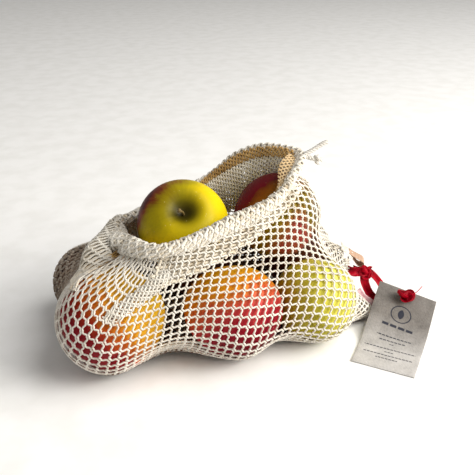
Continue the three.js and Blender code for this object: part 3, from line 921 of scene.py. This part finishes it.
def apple(name, at, radius, stalk_way, blush_and_shade_way, seed, material, fuller):
    """fuller swells the apple's left-hand cheek."""
    columns, rows = 64, 44
    angle = (np.pi * np.arange(rows + 1) / rows)[:, None]
    turn = (2 * np.pi * np.arange(columns) / columns)[None, :]
    out = radius * np.sin(angle) * (1 + 0.05 * np.sin(angle) * np.cos(angle)) * 0.99
    hollow = 0.34 * np.exp(-((out / (0.3 * radius)) ** 2))
    basin = 0.14 * np.exp(-((out / (0.22 * radius)) ** 2))
    up = 0.95 * radius * np.cos(angle) - radius * np.where(angle < np.pi / 2, hollow, -basin)
    phase = np.random.default_rng(seed).uniform(0, 2 * np.pi, 4)
    lobes = 0.014 * np.cos(5 * turn + phase[0]) * smooth((angle - 1.2) / 1.6)
    wander = 0.008 * np.cos(2 * turn + phase[1])
    wander = wander + 0.006 * np.cos(3 * turn + phase[2]) * np.sin(2 * angle + phase[3])
    shape = 0.972 + lobes + wander  # never wider than the CAD model's
    local = np.stack([out * shape * np.cos(turn), out * shape * np.sin(turn), up * (shape + 0.014)], -1)
    z = unit(np.array(stalk_way, float))
    x = unit(np.cross(z, (0.3, 0.9, 0.2)))
    axes = np.stack([x, np.cross(z, x), z])
    placed = local.reshape(-1, 3) @ axes
    left = np.minimum(placed @ VIEW_RIGHT, 0)[:, None]
    placed = placed + VIEW_RIGHT * left * (fuller - 1) + at
    ring = np.arange(columns)
    faces = []
    for j in range(1, rows - 1):
        a, b = columns * j + ring, columns * j + np.roll(ring, -1)
        faces += np.stack([a, a + columns, b + columns, b], 1).tolist()
    tip, base = 0, columns * rows
    faces += [[tip, columns + k, columns + (k + 1) % columns] for k in range(columns)]
    last = columns * (rows - 1)
    faces += [[last + k, base, last + (k + 1) % columns] for k in range(columns)]
    keep = np.r_[0, columns : columns * rows, base]
    number = np.zeros(columns * (rows + 1), int)
    number[keep] = np.arange(len(keep))
    made = mesh_of(name, placed[keep], [[int(number[i]) for i in face] for face in faces], material)
    stored = made.data.attributes
    # how far each point faces the side that faced the sun, whose darker colours are partly painted shade
    blush_and_shade = unit(placed[keep] - at) @ unit(np.array(blush_and_shade_way, float))
    stored.new("blush_and_shade", "FLOAT", "POINT").data.foreach_set("value", blush_and_shade)
    depth = np.where(angle < 1.5, np.exp(-((out / (0.5 * radius)) ** 2)), 0)
    depth = np.broadcast_to(depth, (rows + 1, columns)).reshape(-1)[keep]
    stored.new("hollow", "FLOAT", "POINT").data.foreach_set("value", depth)
    streak = np.stack(np.broadcast_arrays(np.cos(turn), np.sin(turn), 0.35 * angle), -1).reshape(-1, 3)[keep]
    stored.new("streak", "FLOAT_VECTOR", "POINT").data.foreach_set("vector", streak.ravel())
    return made


# %% [markdown]
# ## Apple skin
#
# Apple skin is a thin waxed film over pale flesh: smooth, with a soft highlight under a sharper one,
# which is a rough base with a thin coat. The ground colour is yellow or green, and the blush lies over it
# in fine streaks that run from stalk to basin. Small pale breathing spots are scattered over it, a few
# millimetres apart.

# %% Apple skin material
def apple_skin(name, stops, hollow_colour, streaks):
    """stops run from the side that was shaded on the tree to the side that faced the sun, which on most
    apples is also turned from the lamps, so that their darker end is partly painted shade.
    """
    material, tree, shader = new_material(name)
    # the side that faced the sun, whose darker colours are partly painted shade, as it is turned from the
    # lamps
    blush_and_shade = add(tree, "ShaderNodeAttribute", attribute_name="blush_and_shade").outputs["Fac"]
    hollow = add(tree, "ShaderNodeAttribute", attribute_name="hollow").outputs["Fac"]
    along = add(tree, "ShaderNodeAttribute", attribute_name="streak").outputs["Vector"]
    inputs = {"Vector": along, "Scale": 9.0, "Detail": 4.0, "Roughness": 0.65}
    fine = add(tree, "ShaderNodeTexNoise", inputs)
    broad = grains(tree, 16, 2.0)
    blush = add(tree, "ShaderNodeMath", {0: blush_and_shade, 1: 0.5, 2: 0.5}, operation="MULTIPLY_ADD")
    for noise, strength in ((fine, streaks), (broad, 0.3)):
        either_way = add(tree, "ShaderNodeMath", {0: noise, 1: 0.5}, operation="SUBTRACT")
        inputs = {0: either_way, 1: strength, 2: blush}
        blush = add(tree, "ShaderNodeMath", inputs, operation="MULTIPLY_ADD")
    colour = with_stops(add(tree, "ShaderNodeValToRGB", {"Fac": blush}), stops)

    # the hollow's colour, russet deep inside it, and the breathing spots; on the apple at the mouth the
    # hollow's colour is near black, which is painted shade in the cavity
    in_hollow = add(tree, "ShaderNodeMath", {0: hollow, 1: 0.95}, operation="MULTIPLY")
    russet = add(tree, "ShaderNodeMath", {0: hollow, 1: 0.72}, operation="SUBTRACT")
    russet = add(tree, "ShaderNodeMath", {0: russet, 1: 3.2}, operation="MULTIPLY")
    russet = add(tree, "ShaderNodeClamp", {"Value": russet})
    place = add(tree, "ShaderNodeTexCoord").outputs["Object"]
    spots = add(tree, "ShaderNodeTexVoronoi", {"Vector": place, "Scale": 1 / (4.5 * MM)})
    near = {"Value": spots, "From Min": 0.05, "From Max": 0.1, "To Min": 0.35, "To Max": 0.0}
    spots = add(tree, "ShaderNodeMapRange", near)
    for share, tint in ((in_hollow, hollow_colour), (russet, "#2c2408"), (spots, "#e8d490")):
        inputs = {"Factor": share, "A": colour, "B": linear(tint)}
        colour = add(tree, "ShaderNodeMix", inputs, data_type="RGBA")
    relief = add(tree, "ShaderNodeBump", {"Height": grains(tree, 2.5, 2.0), "Distance": 0.06 * MM})
    finish = {
        "Base Color": colour, "Roughness": 0.45, "Specular IOR Level": 0.1, "Coat Weight": 0.04,
        "Coat Roughness": 0.2, "Normal": relief,
    }
    fill(tree, shader, finish)
    return material


# the darker ends of these ramps lie on the side that faced the sun; on most apples that side is turned from
# the lamps, so they are partly painted shade
YELLOW = [
    (0.0, "#f2dc12"), (0.5, "#e8cc0c"), (0.68, "#b4a20a"), (0.8, "#98800a"), (0.88, "#7c300a"),
    (0.94, "#500810"),
]
RUSTY = [
    (0.0, "#b03a40"), (0.2, "#948018"), (0.45, "#8a4e06"), (0.545, "#6c2c04"), (0.57, "#680312"),
    (1.0, "#5a0210"),
]
# the hidden apples behind are maroon, made so dark that the gaps between the fruit read dark: partly their
# skin, partly painted shade
MAROON_IN_SHADE = [(0.0, "#5c2a10"), (0.5, "#4c180e"), (1.0, "#3c0812")]
RED_ORANGE = [
    (0.0, "#f2ca34"), (0.3, "#e8ac28"), (0.45, "#d4781e"), (0.58, "#b83a1c"), (0.72, "#961220"),
    (1.0, "#7a0a1c"),
]
CORAL = [
    (0.0, "#ecb41e"), (0.3, "#ea961a"), (0.46, "#d6603a"), (0.6, "#c64040"), (0.74, "#9c1428"),
    (1.0, "#72061a"),
]
GREEN = [(0.0, "#ece678"), (0.4, "#d8d04c"), (0.65, "#b4a832"), (0.85, "#a08a20"), (1.0, "#8e6414")]

# name: hollow's way, way of the blush and its painted shade, colours, strength of the streaks, colour of the
# hollow
FRUIT = {
    # this apple's near-black hollow is painted shade in its stalk cavity
    "mouth": ((-0.08, -0.69, 0.77), facing(-0.8, 0.5, -0.35), YELLOW, 0.15, "#262802"),
    "hood": ((0.83, -0.5, 0.2), facing(-0.6, 0.23, -0.77), RUSTY, 0.05, "#7a6a1e"),
    "heel_front": (facing(-0.2, 0.4, -0.9), facing(-0.75, -0.55, 0.35), RED_ORANGE, 0.3, "#a89a2c"),
    "middle_front": (facing(0.2, 0.5, -0.85), facing(0.38, -0.72, 0.58), CORAL, 0.3, "#a89a2c"),
    "toe_front": (facing(0.1, 0.3, -0.95), facing(-0.9, -0.35, 0.1), GREEN, 0.2, "#8d9a1e"),
    "heel_back": (facing(0.1, 0.9, 0.4), facing(-0.5, 0.2, -0.8), MAROON_IN_SHADE, 0.3, "#5a4a1e"),
    "middle_back": (facing(0.3, 0.8, 0.5), facing(0.3, 0.4, -0.8), MAROON_IN_SHADE, 0.3, "#5a4a1e"),
    "toe_back": (facing(0.2, 0.9, -0.4), facing(0.4, 0.2, -0.8), MAROON_IN_SHADE, 0.3, "#7a6a1e"),
}
FULLER = {"middle_front": 1.13}  # the middle apple's left-hand cheek shows beside the heel's
apples = {}
for seed, (name, (stalk_way, blush_and_shade_way, stops, streaks, hollow_colour)) in enumerate(FRUIT.items()):
    at, radius = APPLES[name]
    skin_of = apple_skin(f"waxed apple skin, {name.replace('_', ' ')}", stops, hollow_colour, streaks)
    place, fuller = np.array(at, float), FULLER.get(name, 1.0)
    apples[name] = apple(f"apple_{name}", place, radius, stalk_way, blush_and_shade_way, seed, skin_of, fuller)
print("apples:", {name: tuple(round(1000 * v, 1) for v in made.dimensions) for name, made in apples.items()})

# %% [markdown]
# ## The stalk
#
# The stalk is woody, thicker where it was picked off, and bent. A tube along a short curve is enough,
# with a knob at its tip.

# %% Tubes and the stalk
def frames(path, start_normal):
    """Unit sideways directions along a path that turn as little as they can."""
    along = unit(np.gradient(path, axis=0))
    normal = np.array(start_normal, float)
    normals = []
    for direction in along:
        normal = normal - direction * (normal @ direction)
        normal /= np.linalg.norm(normal)
        normals.append(normal.copy())
    normals = np.array(normals)
    return normals, np.cross(along, normals)


def tube_mesh(path, sections, start_normal=(0.3, 0.2, 1)):
    """Points and faces of a closed tube. sections is each ring's outline, along the normal and across it."""
    normals, binormals = frames(path, start_normal)
    sections = np.broadcast_to(sections, (len(path), *np.shape(sections)[-2:]))
    rings = path[:, None] + normals[:, None] * sections[..., :1] + binormals[:, None] * sections[..., 1:]
    count = rings.shape[1]
    k = np.arange(count)
    faces = []
    for j in range(len(path) - 1):
        a, b = count * j + k, count * j + np.roll(k, -1)
        faces += np.stack([a, b, b + count, a + count], 1).tolist()
    faces.append((count - 1 - k).tolist())
    faces.append((count * (len(path) - 1) + k).tolist())
    return rings.reshape(-1, 3), faces


def circle(radii, sides=12):
    turn = 2 * np.pi * np.arange(sides) / sides
    return np.asarray(radii)[..., None, None] * np.stack([np.cos(turn), np.sin(turn)], -1)


def joined(name, parts, material):
    """One mesh from several (points in millimetres, faces), with its faces turned outwards."""
    points, faces, start = [], [], 0
    for part, its_faces in parts:
        points.append(part)
        faces += [[i + start for i in face] for face in its_faces]
        start += len(part)
    made = mesh_of(name, np.vstack(points), faces, material)
    work = bmesh.new()
    work.from_mesh(made.data)
    bmesh.ops.recalc_face_normals(work, faces=work.faces)
    work.to_mesh(made.data)
    work.free()
    return made


def plain_finish(name, pale, shade, size, roughness, depth):
    """Two shades in grains of one size, with a relief of the same grains, both in millimetres."""
    material, tree, shader = new_material(name)
    noise = grains(tree, size, 3.0)
    colour = with_stops(add(tree, "ShaderNodeValToRGB", {"Fac": noise}), [(0.35, shade), (0.62, pale)])
    relief = add(tree, "ShaderNodeBump", {"Height": noise, "Distance": depth * MM})
    fill(tree, shader, {"Base Color": colour, "Roughness": roughness, "Normal": relief})
    return material


BARK = plain_finish("apple wood bark", "#8a7440", "#4a3a1c", 0.8, 0.7, 0.3)
at, radius = APPLES["mouth"]
z = unit(np.array(FRUIT["mouth"][0]))
x = unit(np.cross((0, 1, 0), z))
foot = 0.55 * radius
stalk_line = np.array([(0, 0, foot), (-1.2, -0.6, foot + 7.5), (-4, -2, foot + 15)])
stalk_line = stalk_line @ np.stack([x, np.cross(z, x), z]) + at
stalk_line = evenly(curve_through(stalk_line, False), np.linspace(0, 1, 14))
share = np.linspace(0, 1, 14)
thick = 1.0 + 0.5 * smooth((share - 0.75) / 0.25) - 0.15 * np.sin(np.pi * share)
stalk = joined("apple_stalk", [tube_mesh(stalk_line, circle(thick))], BARK)

# %% [markdown]
# ## Cord
#
# The cord's two tails come out of the hem at the right-hand corner, on the CAD model's routes, point for
# point. They are laid from three plies, so each ply is a tube that winds round the cord's own line.

# %% Cord
CORD_RADIUS = 1.8
LONG_TAIL = [(46.6, -17.4, 131.8), (55, -16.5, 135), (63, -14, 138), (70, -12, 139)]
SHORT_TAIL = [(47, -18, 131), (52.5, -19.6, 129.2), (58, -19, 127.5), (61, -18, 127)]
CORD_KNOT = (57, -19, 128)


def length_of(path):
    return np.linalg.norm(np.diff(path, axis=0), axis=1).sum()


def laid_cord(path, radius, plies=3, lay=7.0):
    """Each ply winds round the path once in lay millimetres."""
    length = length_of(path)
    count = max(12, int(length / 0.7))
    line = evenly(path, np.linspace(0, 1, count))
    normals, binormals = frames(line, (0, 0, 1))
    parts = []
    for ply in range(plies):
        turn = 2 * np.pi * (np.linspace(0, length / lay, count) + ply / plies)[:, None]
        wound = line + (normals * np.cos(turn) + binormals * np.sin(turn)) * radius * 0.5
        parts.append(tube_mesh(wound, circle(radius * 0.52, 8)))
    return parts


def knot_line(at, size, way):
    """A trefoil, drawn tight: the line that a simple knot follows."""
    turn = np.linspace(0, 2 * np.pi, 90)[:, None]
    wide, tall = np.sin(turn) + 2 * np.sin(2 * turn), np.cos(turn) - 2 * np.cos(2 * turn)
    shape = np.hstack([wide, tall, -np.sin(3 * turn)]) / 3
    z = unit(np.array(way, float))
    x = unit(np.cross((0.2, 0.3, 0.9), z))
    return shape * size @ np.stack([x, np.cross(z, x), z]) + at


CORD_COTTON = cotton("cotton cord", "#d6d2ca", "#a8a298")
parts = []
# the long tail stops short of its route's end, where the real one has frayed away
for tail, shown in ((LONG_TAIL, 0.88), (SHORT_TAIL, 1.0)):
    parts += laid_cord(evenly(curve_through(tail, False), np.linspace(0, shown, 60)), CORD_RADIUS)
knot = knot_line(np.array(CORD_KNOT, float), np.array([3.6, 3.0, 2.8]), (1, -0.4, 0.3))
parts.append(tube_mesh(knot, circle(1.3, 8)))
cord = joined("drawcord_tails", parts, CORD_COTTON)

# %% [markdown]
# ## Ribbon
#
# The ribbon is narrow satin, tied round the toe and knotted through the tag: a flat strip that curls a
# little across its width. Its strands take the CAD model's routes, point for point. Only the turn that
# grips the toe, a paler length under it and one frayed thread are added.

# %% Ribbon
TIE = [(90.6, -27, 31.5), (93.5, -30.5, 31.5), (97, -32, 31.5), (101, -30, 30.5)]
BIGHT = [(85.5, -28, 32.5), (89.5, -30.5, 32), (94, -31.8, 31.5)]
UPPER_STRAND = [(101, -30, 30.5), (108, -27.5, 25), (116, -28, 15),
                (121, -38, 7), (124.5, -49, 5), (125.3, -57, 8.5)]
LOWER_STRAND = [(101, -30, 30.5), (99, -33.5, 23), (104, -38, 11),
                (112, -46, 5.5), (119, -53, 5), (123.6, -57.4, 8.5)]
NECK = [(124.6, -57.1, 7.5), (124.4, -57.7, 12.5), (124.3, -58.2, 19.5)]
FIRST_KNOT, TAG_KNOT = (101, -30, 30), (123.3, -59.2, 20.3)
RIBBON_WIDTH, RIBBON_THICKNESS = 8.0, 0.5
FRONT = (-0.23, -0.86, 0.45)  # the way the ribbon's flat side faces at the toe


def ribbon_strip(path, start_normal, width=RIBBON_WIDTH, curl=2.2, turns=0.0):
    """A strip of satin along a path. curl bows it across its width, in millimetres, and turns twists it."""
    count = max(10, int(length_of(path) / 1.2))
    line = evenly(path, np.linspace(0, 1, count))
    s = np.linspace(0, 1, count)[:, None]
    across = np.r_[np.linspace(-1, 1, 9), np.linspace(1, -1, 9)][None, :]
    rounded = np.sqrt(np.maximum(1 - across**8, 0.05))
    side = np.r_[np.ones(9), -np.ones(9)][None, :] * RIBBON_THICKNESS / 2 * rounded
    wave = 1 + 0.25 * np.sin(7 * s)
    bow = curl * wave * (across**2 - 0.4) + 0.2 * curl * np.sin(4.2 * across + 11 * s)
    flat_side, wide = bow + side, across * width / 2 * (1 - 0.12 * np.sin(5 * s) ** 2)
    angle = 2 * np.pi * turns * s
    cosine, sine = np.cos(angle), np.sin(angle)
    section = np.stack([flat_side * cosine - wide * sine, flat_side * sine + wide * cosine], -1)
    return line, tube_mesh(line, section, start_normal)


def satin():
    """Woven polyester satin: long floating threads, so it shines along one way and is deep red between. Both
    are painted into its colour: the brighter red is painted shine, the deeper red painted shade in the folds.
    """
    material, tree, shader = new_material("red satin ribbon")
    weave = grains(tree, 0.5, 2.0, (1, 1, 3))
    fold = grains(tree, 6, 1.0)
    # painted shine and painted shade: the red is brighter on the shine and deeper in the folds
    shine = add(tree, "ShaderNodeMath", {0: fold, 1: 0.65}, operation="MULTIPLY")
    shine = add(tree, "ShaderNodeMath", {0: weave, 1: 0.35, 2: shine}, operation="MULTIPLY_ADD")
    colour = with_stops(add(tree, "ShaderNodeValToRGB", {"Fac": shine}), [(0.3, "#5a000e"), (0.6, "#b2001f")])
    relief = add(tree, "ShaderNodeBump", {"Height": weave, "Distance": 0.12 * MM})
    finish = {"Base Color": colour, "Roughness": 0.45, "Specular IOR Level": 0.12, "Normal": relief}
    fill(tree, shader, finish)
    return material


SATIN = satin()
upper_route = np.vstack([curve_through(TIE, False)[:-1], curve_through(UPPER_STRAND, False)])
upper_line, upper = ribbon_strip(upper_route, FRONT, turns=0.03)
lower_line, lower = ribbon_strip(curve_through(LOWER_STRAND, False), (-0.1, -0.86, 0.45), turns=-0.04)
ribbon_upper = joined("ribbon_upper", [upper], SATIN)
ribbon_lower = joined("ribbon_lower", [lower], SATIN)


def ribbon_knot(at, size, way):
    loop = knot_line(np.array(at, float), np.array(size, float), way)
    return [ribbon_strip(loop, way, width=6.0, curl=1.2)[1]]


bight = ribbon_strip(curve_through(BIGHT, False), FRONT)[1]  # the turn that grips the toe
toe_knot_parts = ribbon_knot(FIRST_KNOT, (5.4, 4.8, 5.6), (0.5, -0.8, 0.3)) + [bight]
toe_knot = joined("ribbon_toe_knot", toe_knot_parts, SATIN)
tag_knot_parts = [ribbon_strip(curve_through(NECK, False), (1, 0, 0), width=3.0, curl=0.4)[1]]
LOOSE_END = [TAG_KNOT, (131, -60, 22.5), (140, -55, 24.5)]  # a thread that has frayed out
tag_knot_parts.append(tube_mesh(curve_through(LOOSE_END, False)[::6], circle(0.35, 6)))
tag_knot_parts += ribbon_knot(TAG_KNOT, (6.6, 4.8, 4.6), (0.1, -0.45, 0.9))
tag_knot = joined("ribbon_tag_knot", tag_knot_parts, SATIN)
# a paler length of the same ribbon goes round under the toe, where only its edge catches the eye
PALE_SATIN = plain_finish("pale pink satin ribbon", "#e2bcc0", "#c48e96", 3, 0.5, 0.1)
UNDER_TOE = [(90.5, -40, 20), (93.5, -43, 16), (97.5, -46.5, 12.5), (103, -50, 9.5)]
pale_strip = ribbon_strip(curve_through(UNDER_TOE, False), FRONT, width=5.5, curl=0.6)[1]
pale_loop = joined("ribbon_under_toe", [pale_strip], PALE_SATIN)
print("ribbon strands, mm:", length_of(upper_line).round(1), length_of(lower_line).round(1))

# %% [markdown]
# ## The tag
#
# The tag is uncoated kraft card. It leans on the ribbon, so its upper part is bent up along a soft crease
# that runs across it at a slant. The card is triangulated flat, with its hole, and then every point is
# lifted onto the bent sheet, which keeps its length along the bend. Its print is only generic: a ring
# with a leaf in it, and plain bars.

# %% Tag
TAG_CORNER, TAG_TURN = np.array([58.5, -101.3, GROUND]), -0.694
TAG_WIDTH, TAG_HEIGHT, TAG_THICKNESS, TAG_SLOPE = 46, 86, 0.8, 0.388
CREASE_LEFT, CREASE_RIGHT, BEND = 26.5, 49.5, 6
HOLE_RADIUS, HOLE_FROM_TOP = 2.6, 8


def on_tag(across, up, lift):
    past = up - CREASE_LEFT - (CREASE_RIGHT - CREASE_LEFT) * across / TAG_WIDTH
    rise = TAG_SLOPE * 0.5 * (past + np.hypot(past, BEND))
    run = up - (1 - math.cos(math.atan(TAG_SLOPE))) * np.maximum(past, 0)
    c, s = math.cos(TAG_TURN), math.sin(TAG_TURN)
    return np.stack([across * c - run * s, across * s + run * c, rise + lift], -1) + TAG_CORNER


def tag_outline():
    """The card's flat points and triangles, with the hole left out."""
    edge = [(TAG_WIDTH * i / 12, 0) for i in range(12)]
    edge += [(TAG_WIDTH, TAG_HEIGHT * i / 24) for i in range(24)]
    edge += [(TAG_WIDTH * (1 - i / 12), TAG_HEIGHT) for i in range(12)]
    edge += [(0, TAG_HEIGHT * (1 - i / 24)) for i in range(24)]
    centre = np.array([TAG_WIDTH / 2, TAG_HEIGHT - HOLE_FROM_TOP])
    turn = 2 * np.pi * np.arange(24) / 24
    hole = (centre + HOLE_RADIUS * np.stack([np.cos(turn), np.sin(turn)], -1)).tolist()
    inner = [(x, y) for x in np.linspace(3, TAG_WIDTH - 3, 12) for y in np.linspace(3, TAG_HEIGHT - 3, 26)
             if np.hypot(*(centre - (x, y))) > HOLE_RADIUS + 1]
    points = [Vector(p) for p in edge + hole + inner]
    loops = [list(range(len(edge))), [len(edge) + i for i in range(24)][::-1]]
    made = delaunay_2d_cdt(points, [], loops, 2, 1e-4)
    flat = np.array([tuple(v) for v in made[0]])
    triangles = [f for f in made[2] if np.hypot(*(flat[list(f)].mean(0) - centre)) > HOLE_RADIUS * 0.9]
    return flat, triangles


def kraft_card():
    """Kraft card: grey-brown, with darker and paler fibres, and matt where ink has not closed it."""
    material, tree, shader = new_material("kraft card")
    print_map = add(tree, "ShaderNodeUVMap", uv_map="print")
    place = add(tree, "ShaderNodeSeparateXYZ", {0: print_map})
    x, y = place.outputs[0], place.outputs[1]
    fibre = grains(tree, 0.9, 4.0, (1, 0.35, 1))
    cloud = grains(tree, 9, 2.0)
    mottled = add(tree, "ShaderNodeMath", {0: cloud, 1: 0.45}, operation="MULTIPLY")
    mottled = add(tree, "ShaderNodeMath", {0: fibre, 1: 0.55, 2: mottled}, operation="MULTIPLY_ADD")
    # painted light and shade: a darker card above and a paler one at the foot, mixed by how light falls on
    # the tag
    card, pale = (add(tree, "ShaderNodeValToRGB", {"Fac": mottled}) for _ in range(2))
    with_stops(card, [(0.32, "#5e5a56"), (0.5, "#716c67"), (0.7, "#827d78")])
    with_stops(pale, [(0.32, "#a8a5a2"), (0.5, "#bcb9b6"), (0.7, "#cbc8c5")])
    light_at_foot_range = {"Value": y, "From Min": 20.0, "From Max": 58.0, "To Min": 1.0, "To Max": 0.0}
    lit_at_foot = add(tree, "ShaderNodeMapRange", light_at_foot_range)  # painted light: the card is paler towards its foot, where more light falls on it
    card = add(tree, "ShaderNodeMix", {"Factor": lit_at_foot, "A": card, "B": pale}, data_type="RGBA")

    def inside(value, middle, half, soft=0.15):
        """1 where value is within half of middle."""
        off = add(tree, "ShaderNodeMath", {0: value, 1: middle}, operation="SUBTRACT")
        off = add(tree, "ShaderNodeMath", {0: off}, operation="ABSOLUTE")
        near, far = half - soft, half + soft
        limits = {"Value": off, "From Min": near, "From Max": far, "To Min": 1.0, "To Max": 0.0}
        return add(tree, "ShaderNodeMapRange", limits)

    def distance(along, up):
        inputs = {0: print_map, 1: (along, up, 0)}
        return add(tree, "ShaderNodeVectorMath", inputs, operation="DISTANCE")

    middle, high = TAG_WIDTH / 2, 62.0  # the ring's centre
    ring = inside(distance(middle, high), 7.6, 0.45)
    right_arc, left_arc = (inside(distance(middle + off, high), 0.0, 5.6) for off in (-3.2, 3.2))
    leaf = add(tree, "ShaderNodeMath", {0: right_arc, 1: left_arc}, operation="MULTIPLY")
    ink = add(tree, "ShaderNodeMath", {0: ring, 1: leaf}, operation="MAXIMUM")
    for up, width, thick in PRINTED_BARS:
        inputs = {0: inside(y, up, thick / 2), 1: inside(x, middle, width / 2)}
        bar = add(tree, "ShaderNodeMath", inputs, operation="MULTIPLY")
        inputs = {0: x, 1: 1 / (2.6 * thick), 2: up * 0.37}
        words = add(tree, "ShaderNodeMath", inputs, operation="MULTIPLY_ADD")
        words = add(tree, "ShaderNodeMath", {0: words}, operation="FRACT")
        inputs = {0: bar, 1: inside(words, 0.5, 0.4, 0.04)}
        bar = add(tree, "ShaderNodeMath", inputs, operation="MULTIPLY")
        ink = add(tree, "ShaderNodeMath", {0: ink, 1: bar}, operation="MAXIMUM")
    ink = add(tree, "ShaderNodeMath", {0: ink, 1: 0.93}, operation="MULTIPLY")
    inputs = {"Factor": ink, "A": card, "B": linear("#10162a")}
    printed = add(tree, "ShaderNodeMix", inputs, data_type="RGBA")
    relief = add(tree, "ShaderNodeBump", {"Height": fibre, "Distance": 0.1 * MM})
    fill(tree, shader, {"Base Color": printed, "Roughness": 0.85, "Normal": relief})
    return material


# how far up the tag each printed bar is, how wide and how thick, in millimetres
PRINTED_BARS = [(49.5, 25, 2.4), (38.5, 26, 1.1), (34.0, 20, 1.1), (30.5, 3, 0.9),
                (24.5, 38, 1.0), (20.5, 7, 0.9), (16.5, 36, 1.0), (12.5, 16, 1.0)]


def tag():
    flat_points, triangles = tag_outline()
    count = len(flat_points)
    low = on_tag(flat_points[:, 0], flat_points[:, 1], 0)
    high = on_tag(flat_points[:, 0], flat_points[:, 1], TAG_THICKNESS)
    faces = [list(t) for t in triangles] + [[i + count for i in t][::-1] for t in triangles]
    edges = {}
    for t in triangles:
        for a, b in ((t[0], t[1]), (t[1], t[2]), (t[2], t[0])):
            edges[(a, b)] = True
    faces += [[b, a, a + count, b + count] for a, b in edges if (b, a) not in edges]
    made = joined("tag_card", [(np.vstack([low, high]), faces)], KRAFT)
    layer = made.data.uv_layers.new(name="print")
    index = np.empty(len(made.data.loops), int)
    made.data.loops.foreach_get("vertex_index", index)
    layer.data.foreach_set("uv", np.vstack([flat_points, flat_points])[index].ravel())
    return made


KRAFT = kraft_card()
tag_card = tag()
bevel = tag_card.modifiers.new("worn edge", "BEVEL")
bevel.width, bevel.segments, bevel.limit_method, bevel.angle_limit = 0.15 * MM, 2, "ANGLE", math.radians(60)

# %% [markdown]
# ## The side tab
#
# A short loop of woven tape is sewn into the side seam. In the CAD model it is a folded strip with square
# ends. Here the fold opens into a drop, and both ends run on into the net that they are sewn to. The tape
# is a plain weave, drawn from two crossed sets of fine waves.

# %% Tab
def woven_tape():
    material, tree, shader = new_material("woven cotton tape")
    place = add(tree, "ShaderNodeTexCoord").outputs["Object"]
    slanted = add(tree, "ShaderNodeMapping", {"Vector": place, "Rotation": (0.25, 0.75, -0.2)})
    inputs = {"Vector": slanted, "Scale": 1 / (1.1 * MM) / 3.14}
    bands = [add(tree, "ShaderNodeTexWave", inputs, bands_direction=way) for way in "XY"]
    inputs = {0: bands[0].outputs["Fac"], 1: bands[1].outputs["Fac"]}
    weave = add(tree, "ShaderNodeMath", inputs, operation="MULTIPLY")
    colour = with_stops(add(tree, "ShaderNodeValToRGB", {"Fac": weave}), [(0.1, "#ac8a72"), (0.7, "#caac94")])
    relief = add(tree, "ShaderNodeBump", {"Height": weave, "Distance": 0.2 * MM})
    fill(tree, shader, {"Base Color": colour, "Roughness": 0.85, "Normal": relief})
    return material


TAB_AT = np.array([92.8, -19.3, 42])
TAB_LONG, TAB_WIDE = unit(np.array([0.717, -0.145, -0.682])), (-0.357, -0.916, -0.181)
TAB_OPEN = unit(np.cross(TAB_LONG, TAB_WIDE))
TAB_LOOP = [(-4, 0.4), (0, 0.7), (5, 1.8), (10, 2.8), (13, 1.6), (14, 0)]
TAB_LOOP += [(along, -aside) for along, aside in TAB_LOOP[-2::-1]]
loop = [TAB_AT + TAB_LONG * along + TAB_OPEN * aside for along, aside in TAB_LOOP]
tape = ribbon_strip(curve_through(loop, False, 8), TAB_OPEN, width=8.6, curl=0.2)[1]
tab = joined("tab_tape", [tape], woven_tape())
root = np.array([TAB_AT + TAB_LONG * along for along in np.linspace(-13, 1.5, 16)])
tab_root = joined("tab_seam", [ribbon_strip(root, TAB_OPEN, width=10.5, curl=1.2)[1]], NET_COTTON)

# %% [markdown]
# ## Floor and light
#
# The bag lies on a plain pale floor in bright soft light. A window's light comes from the right and a
# little from the front, and a wide soft box hangs above and to the right, so that the right side is
# bright and the left side turns away into shade. A pale world fills the rest.

# %% Floor and lights
def floor():
    made = bpy.data.meshes.new("floor")
    made.from_pydata([(-9, -9, 0), (9, -9, 0), (9, 9, 0), (-9, 9, 0)], [], [(0, 1, 2, 3)])
    made.materials.append(plain_finish("white painted board", "#fbfbfa", "#f4f4f2", 30, 0.9, 0.02))
    made = bpy.data.objects.new("floor", made)
    bpy.context.collection.objects.link(made)


def area_light(name, at, size, power, colour):
    data = bpy.data.lights.new(name, "AREA")
    data.shape, data.size = "DISK", size
    data.energy, data.color = power, linear(colour)[:3]
    made = bpy.data.objects.new(name, data)
    made.location = at
    made.rotation_euler = (-Vector(at)).to_track_quat("-Z", "Y").to_euler()
    bpy.context.collection.objects.link(made)


floor()
area_light("window", facing(0.9, 0.5, 0.3) * 1.3, 0.8, 16, "#fffaf2")
area_light("overhead", facing(0.8, 1.0, 0.1) * 2.8, 2.6, 60, "#fffdfa")
world = bpy.data.worlds.new("studio")
world.use_nodes = True
world.node_tree.nodes["Background"].inputs["Color"].default_value = (1, 0.975, 0.945, 1)
world.node_tree.nodes["Background"].inputs["Strength"].default_value = 0.33
bpy.context.scene.world = world
bpy.context.scene.view_settings.view_transform = "Standard"  # white stays white, and reds stay saturated

# %% [markdown]
# ## What each piece stands for
#
# Every new piece rides on the model's one body. The first piece of net stands for the bag's solid, and the
# other layers and the hidden fruit go with it. The two apples that show, the cord, the tab, the ribbon
# and the tag each stand for their own solid.

# %% Tie the pieces to the frame
def belongs(pieces, slot, *nodes):
    for piece in pieces:
        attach(piece, "root")
        if nodes:
            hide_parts(*nodes)


hidden = [made for name, made in apples.items() if name not in ("mouth", "hood")]
belongs(net + layers + hem_parts + [hem_core, tab_root], "cotton_net", "net_bag")
belongs(hidden, "red_apple", "net_bag")
belongs([apples["mouth"], stalk], "yellow_apple", "apple_at_mouth")
belongs([apples["hood"]], "red_apple", "apple_in_hood")
belongs([cord], "cotton_cord", "drawcord")
belongs([ribbon_upper, ribbon_lower, toe_knot, tag_knot, pale_loop], "red_ribbon", "ribbon")
belongs([tag_card], "kraft_card", "swing_tag")
belongs([tab], "woven_tab", "side_tab")
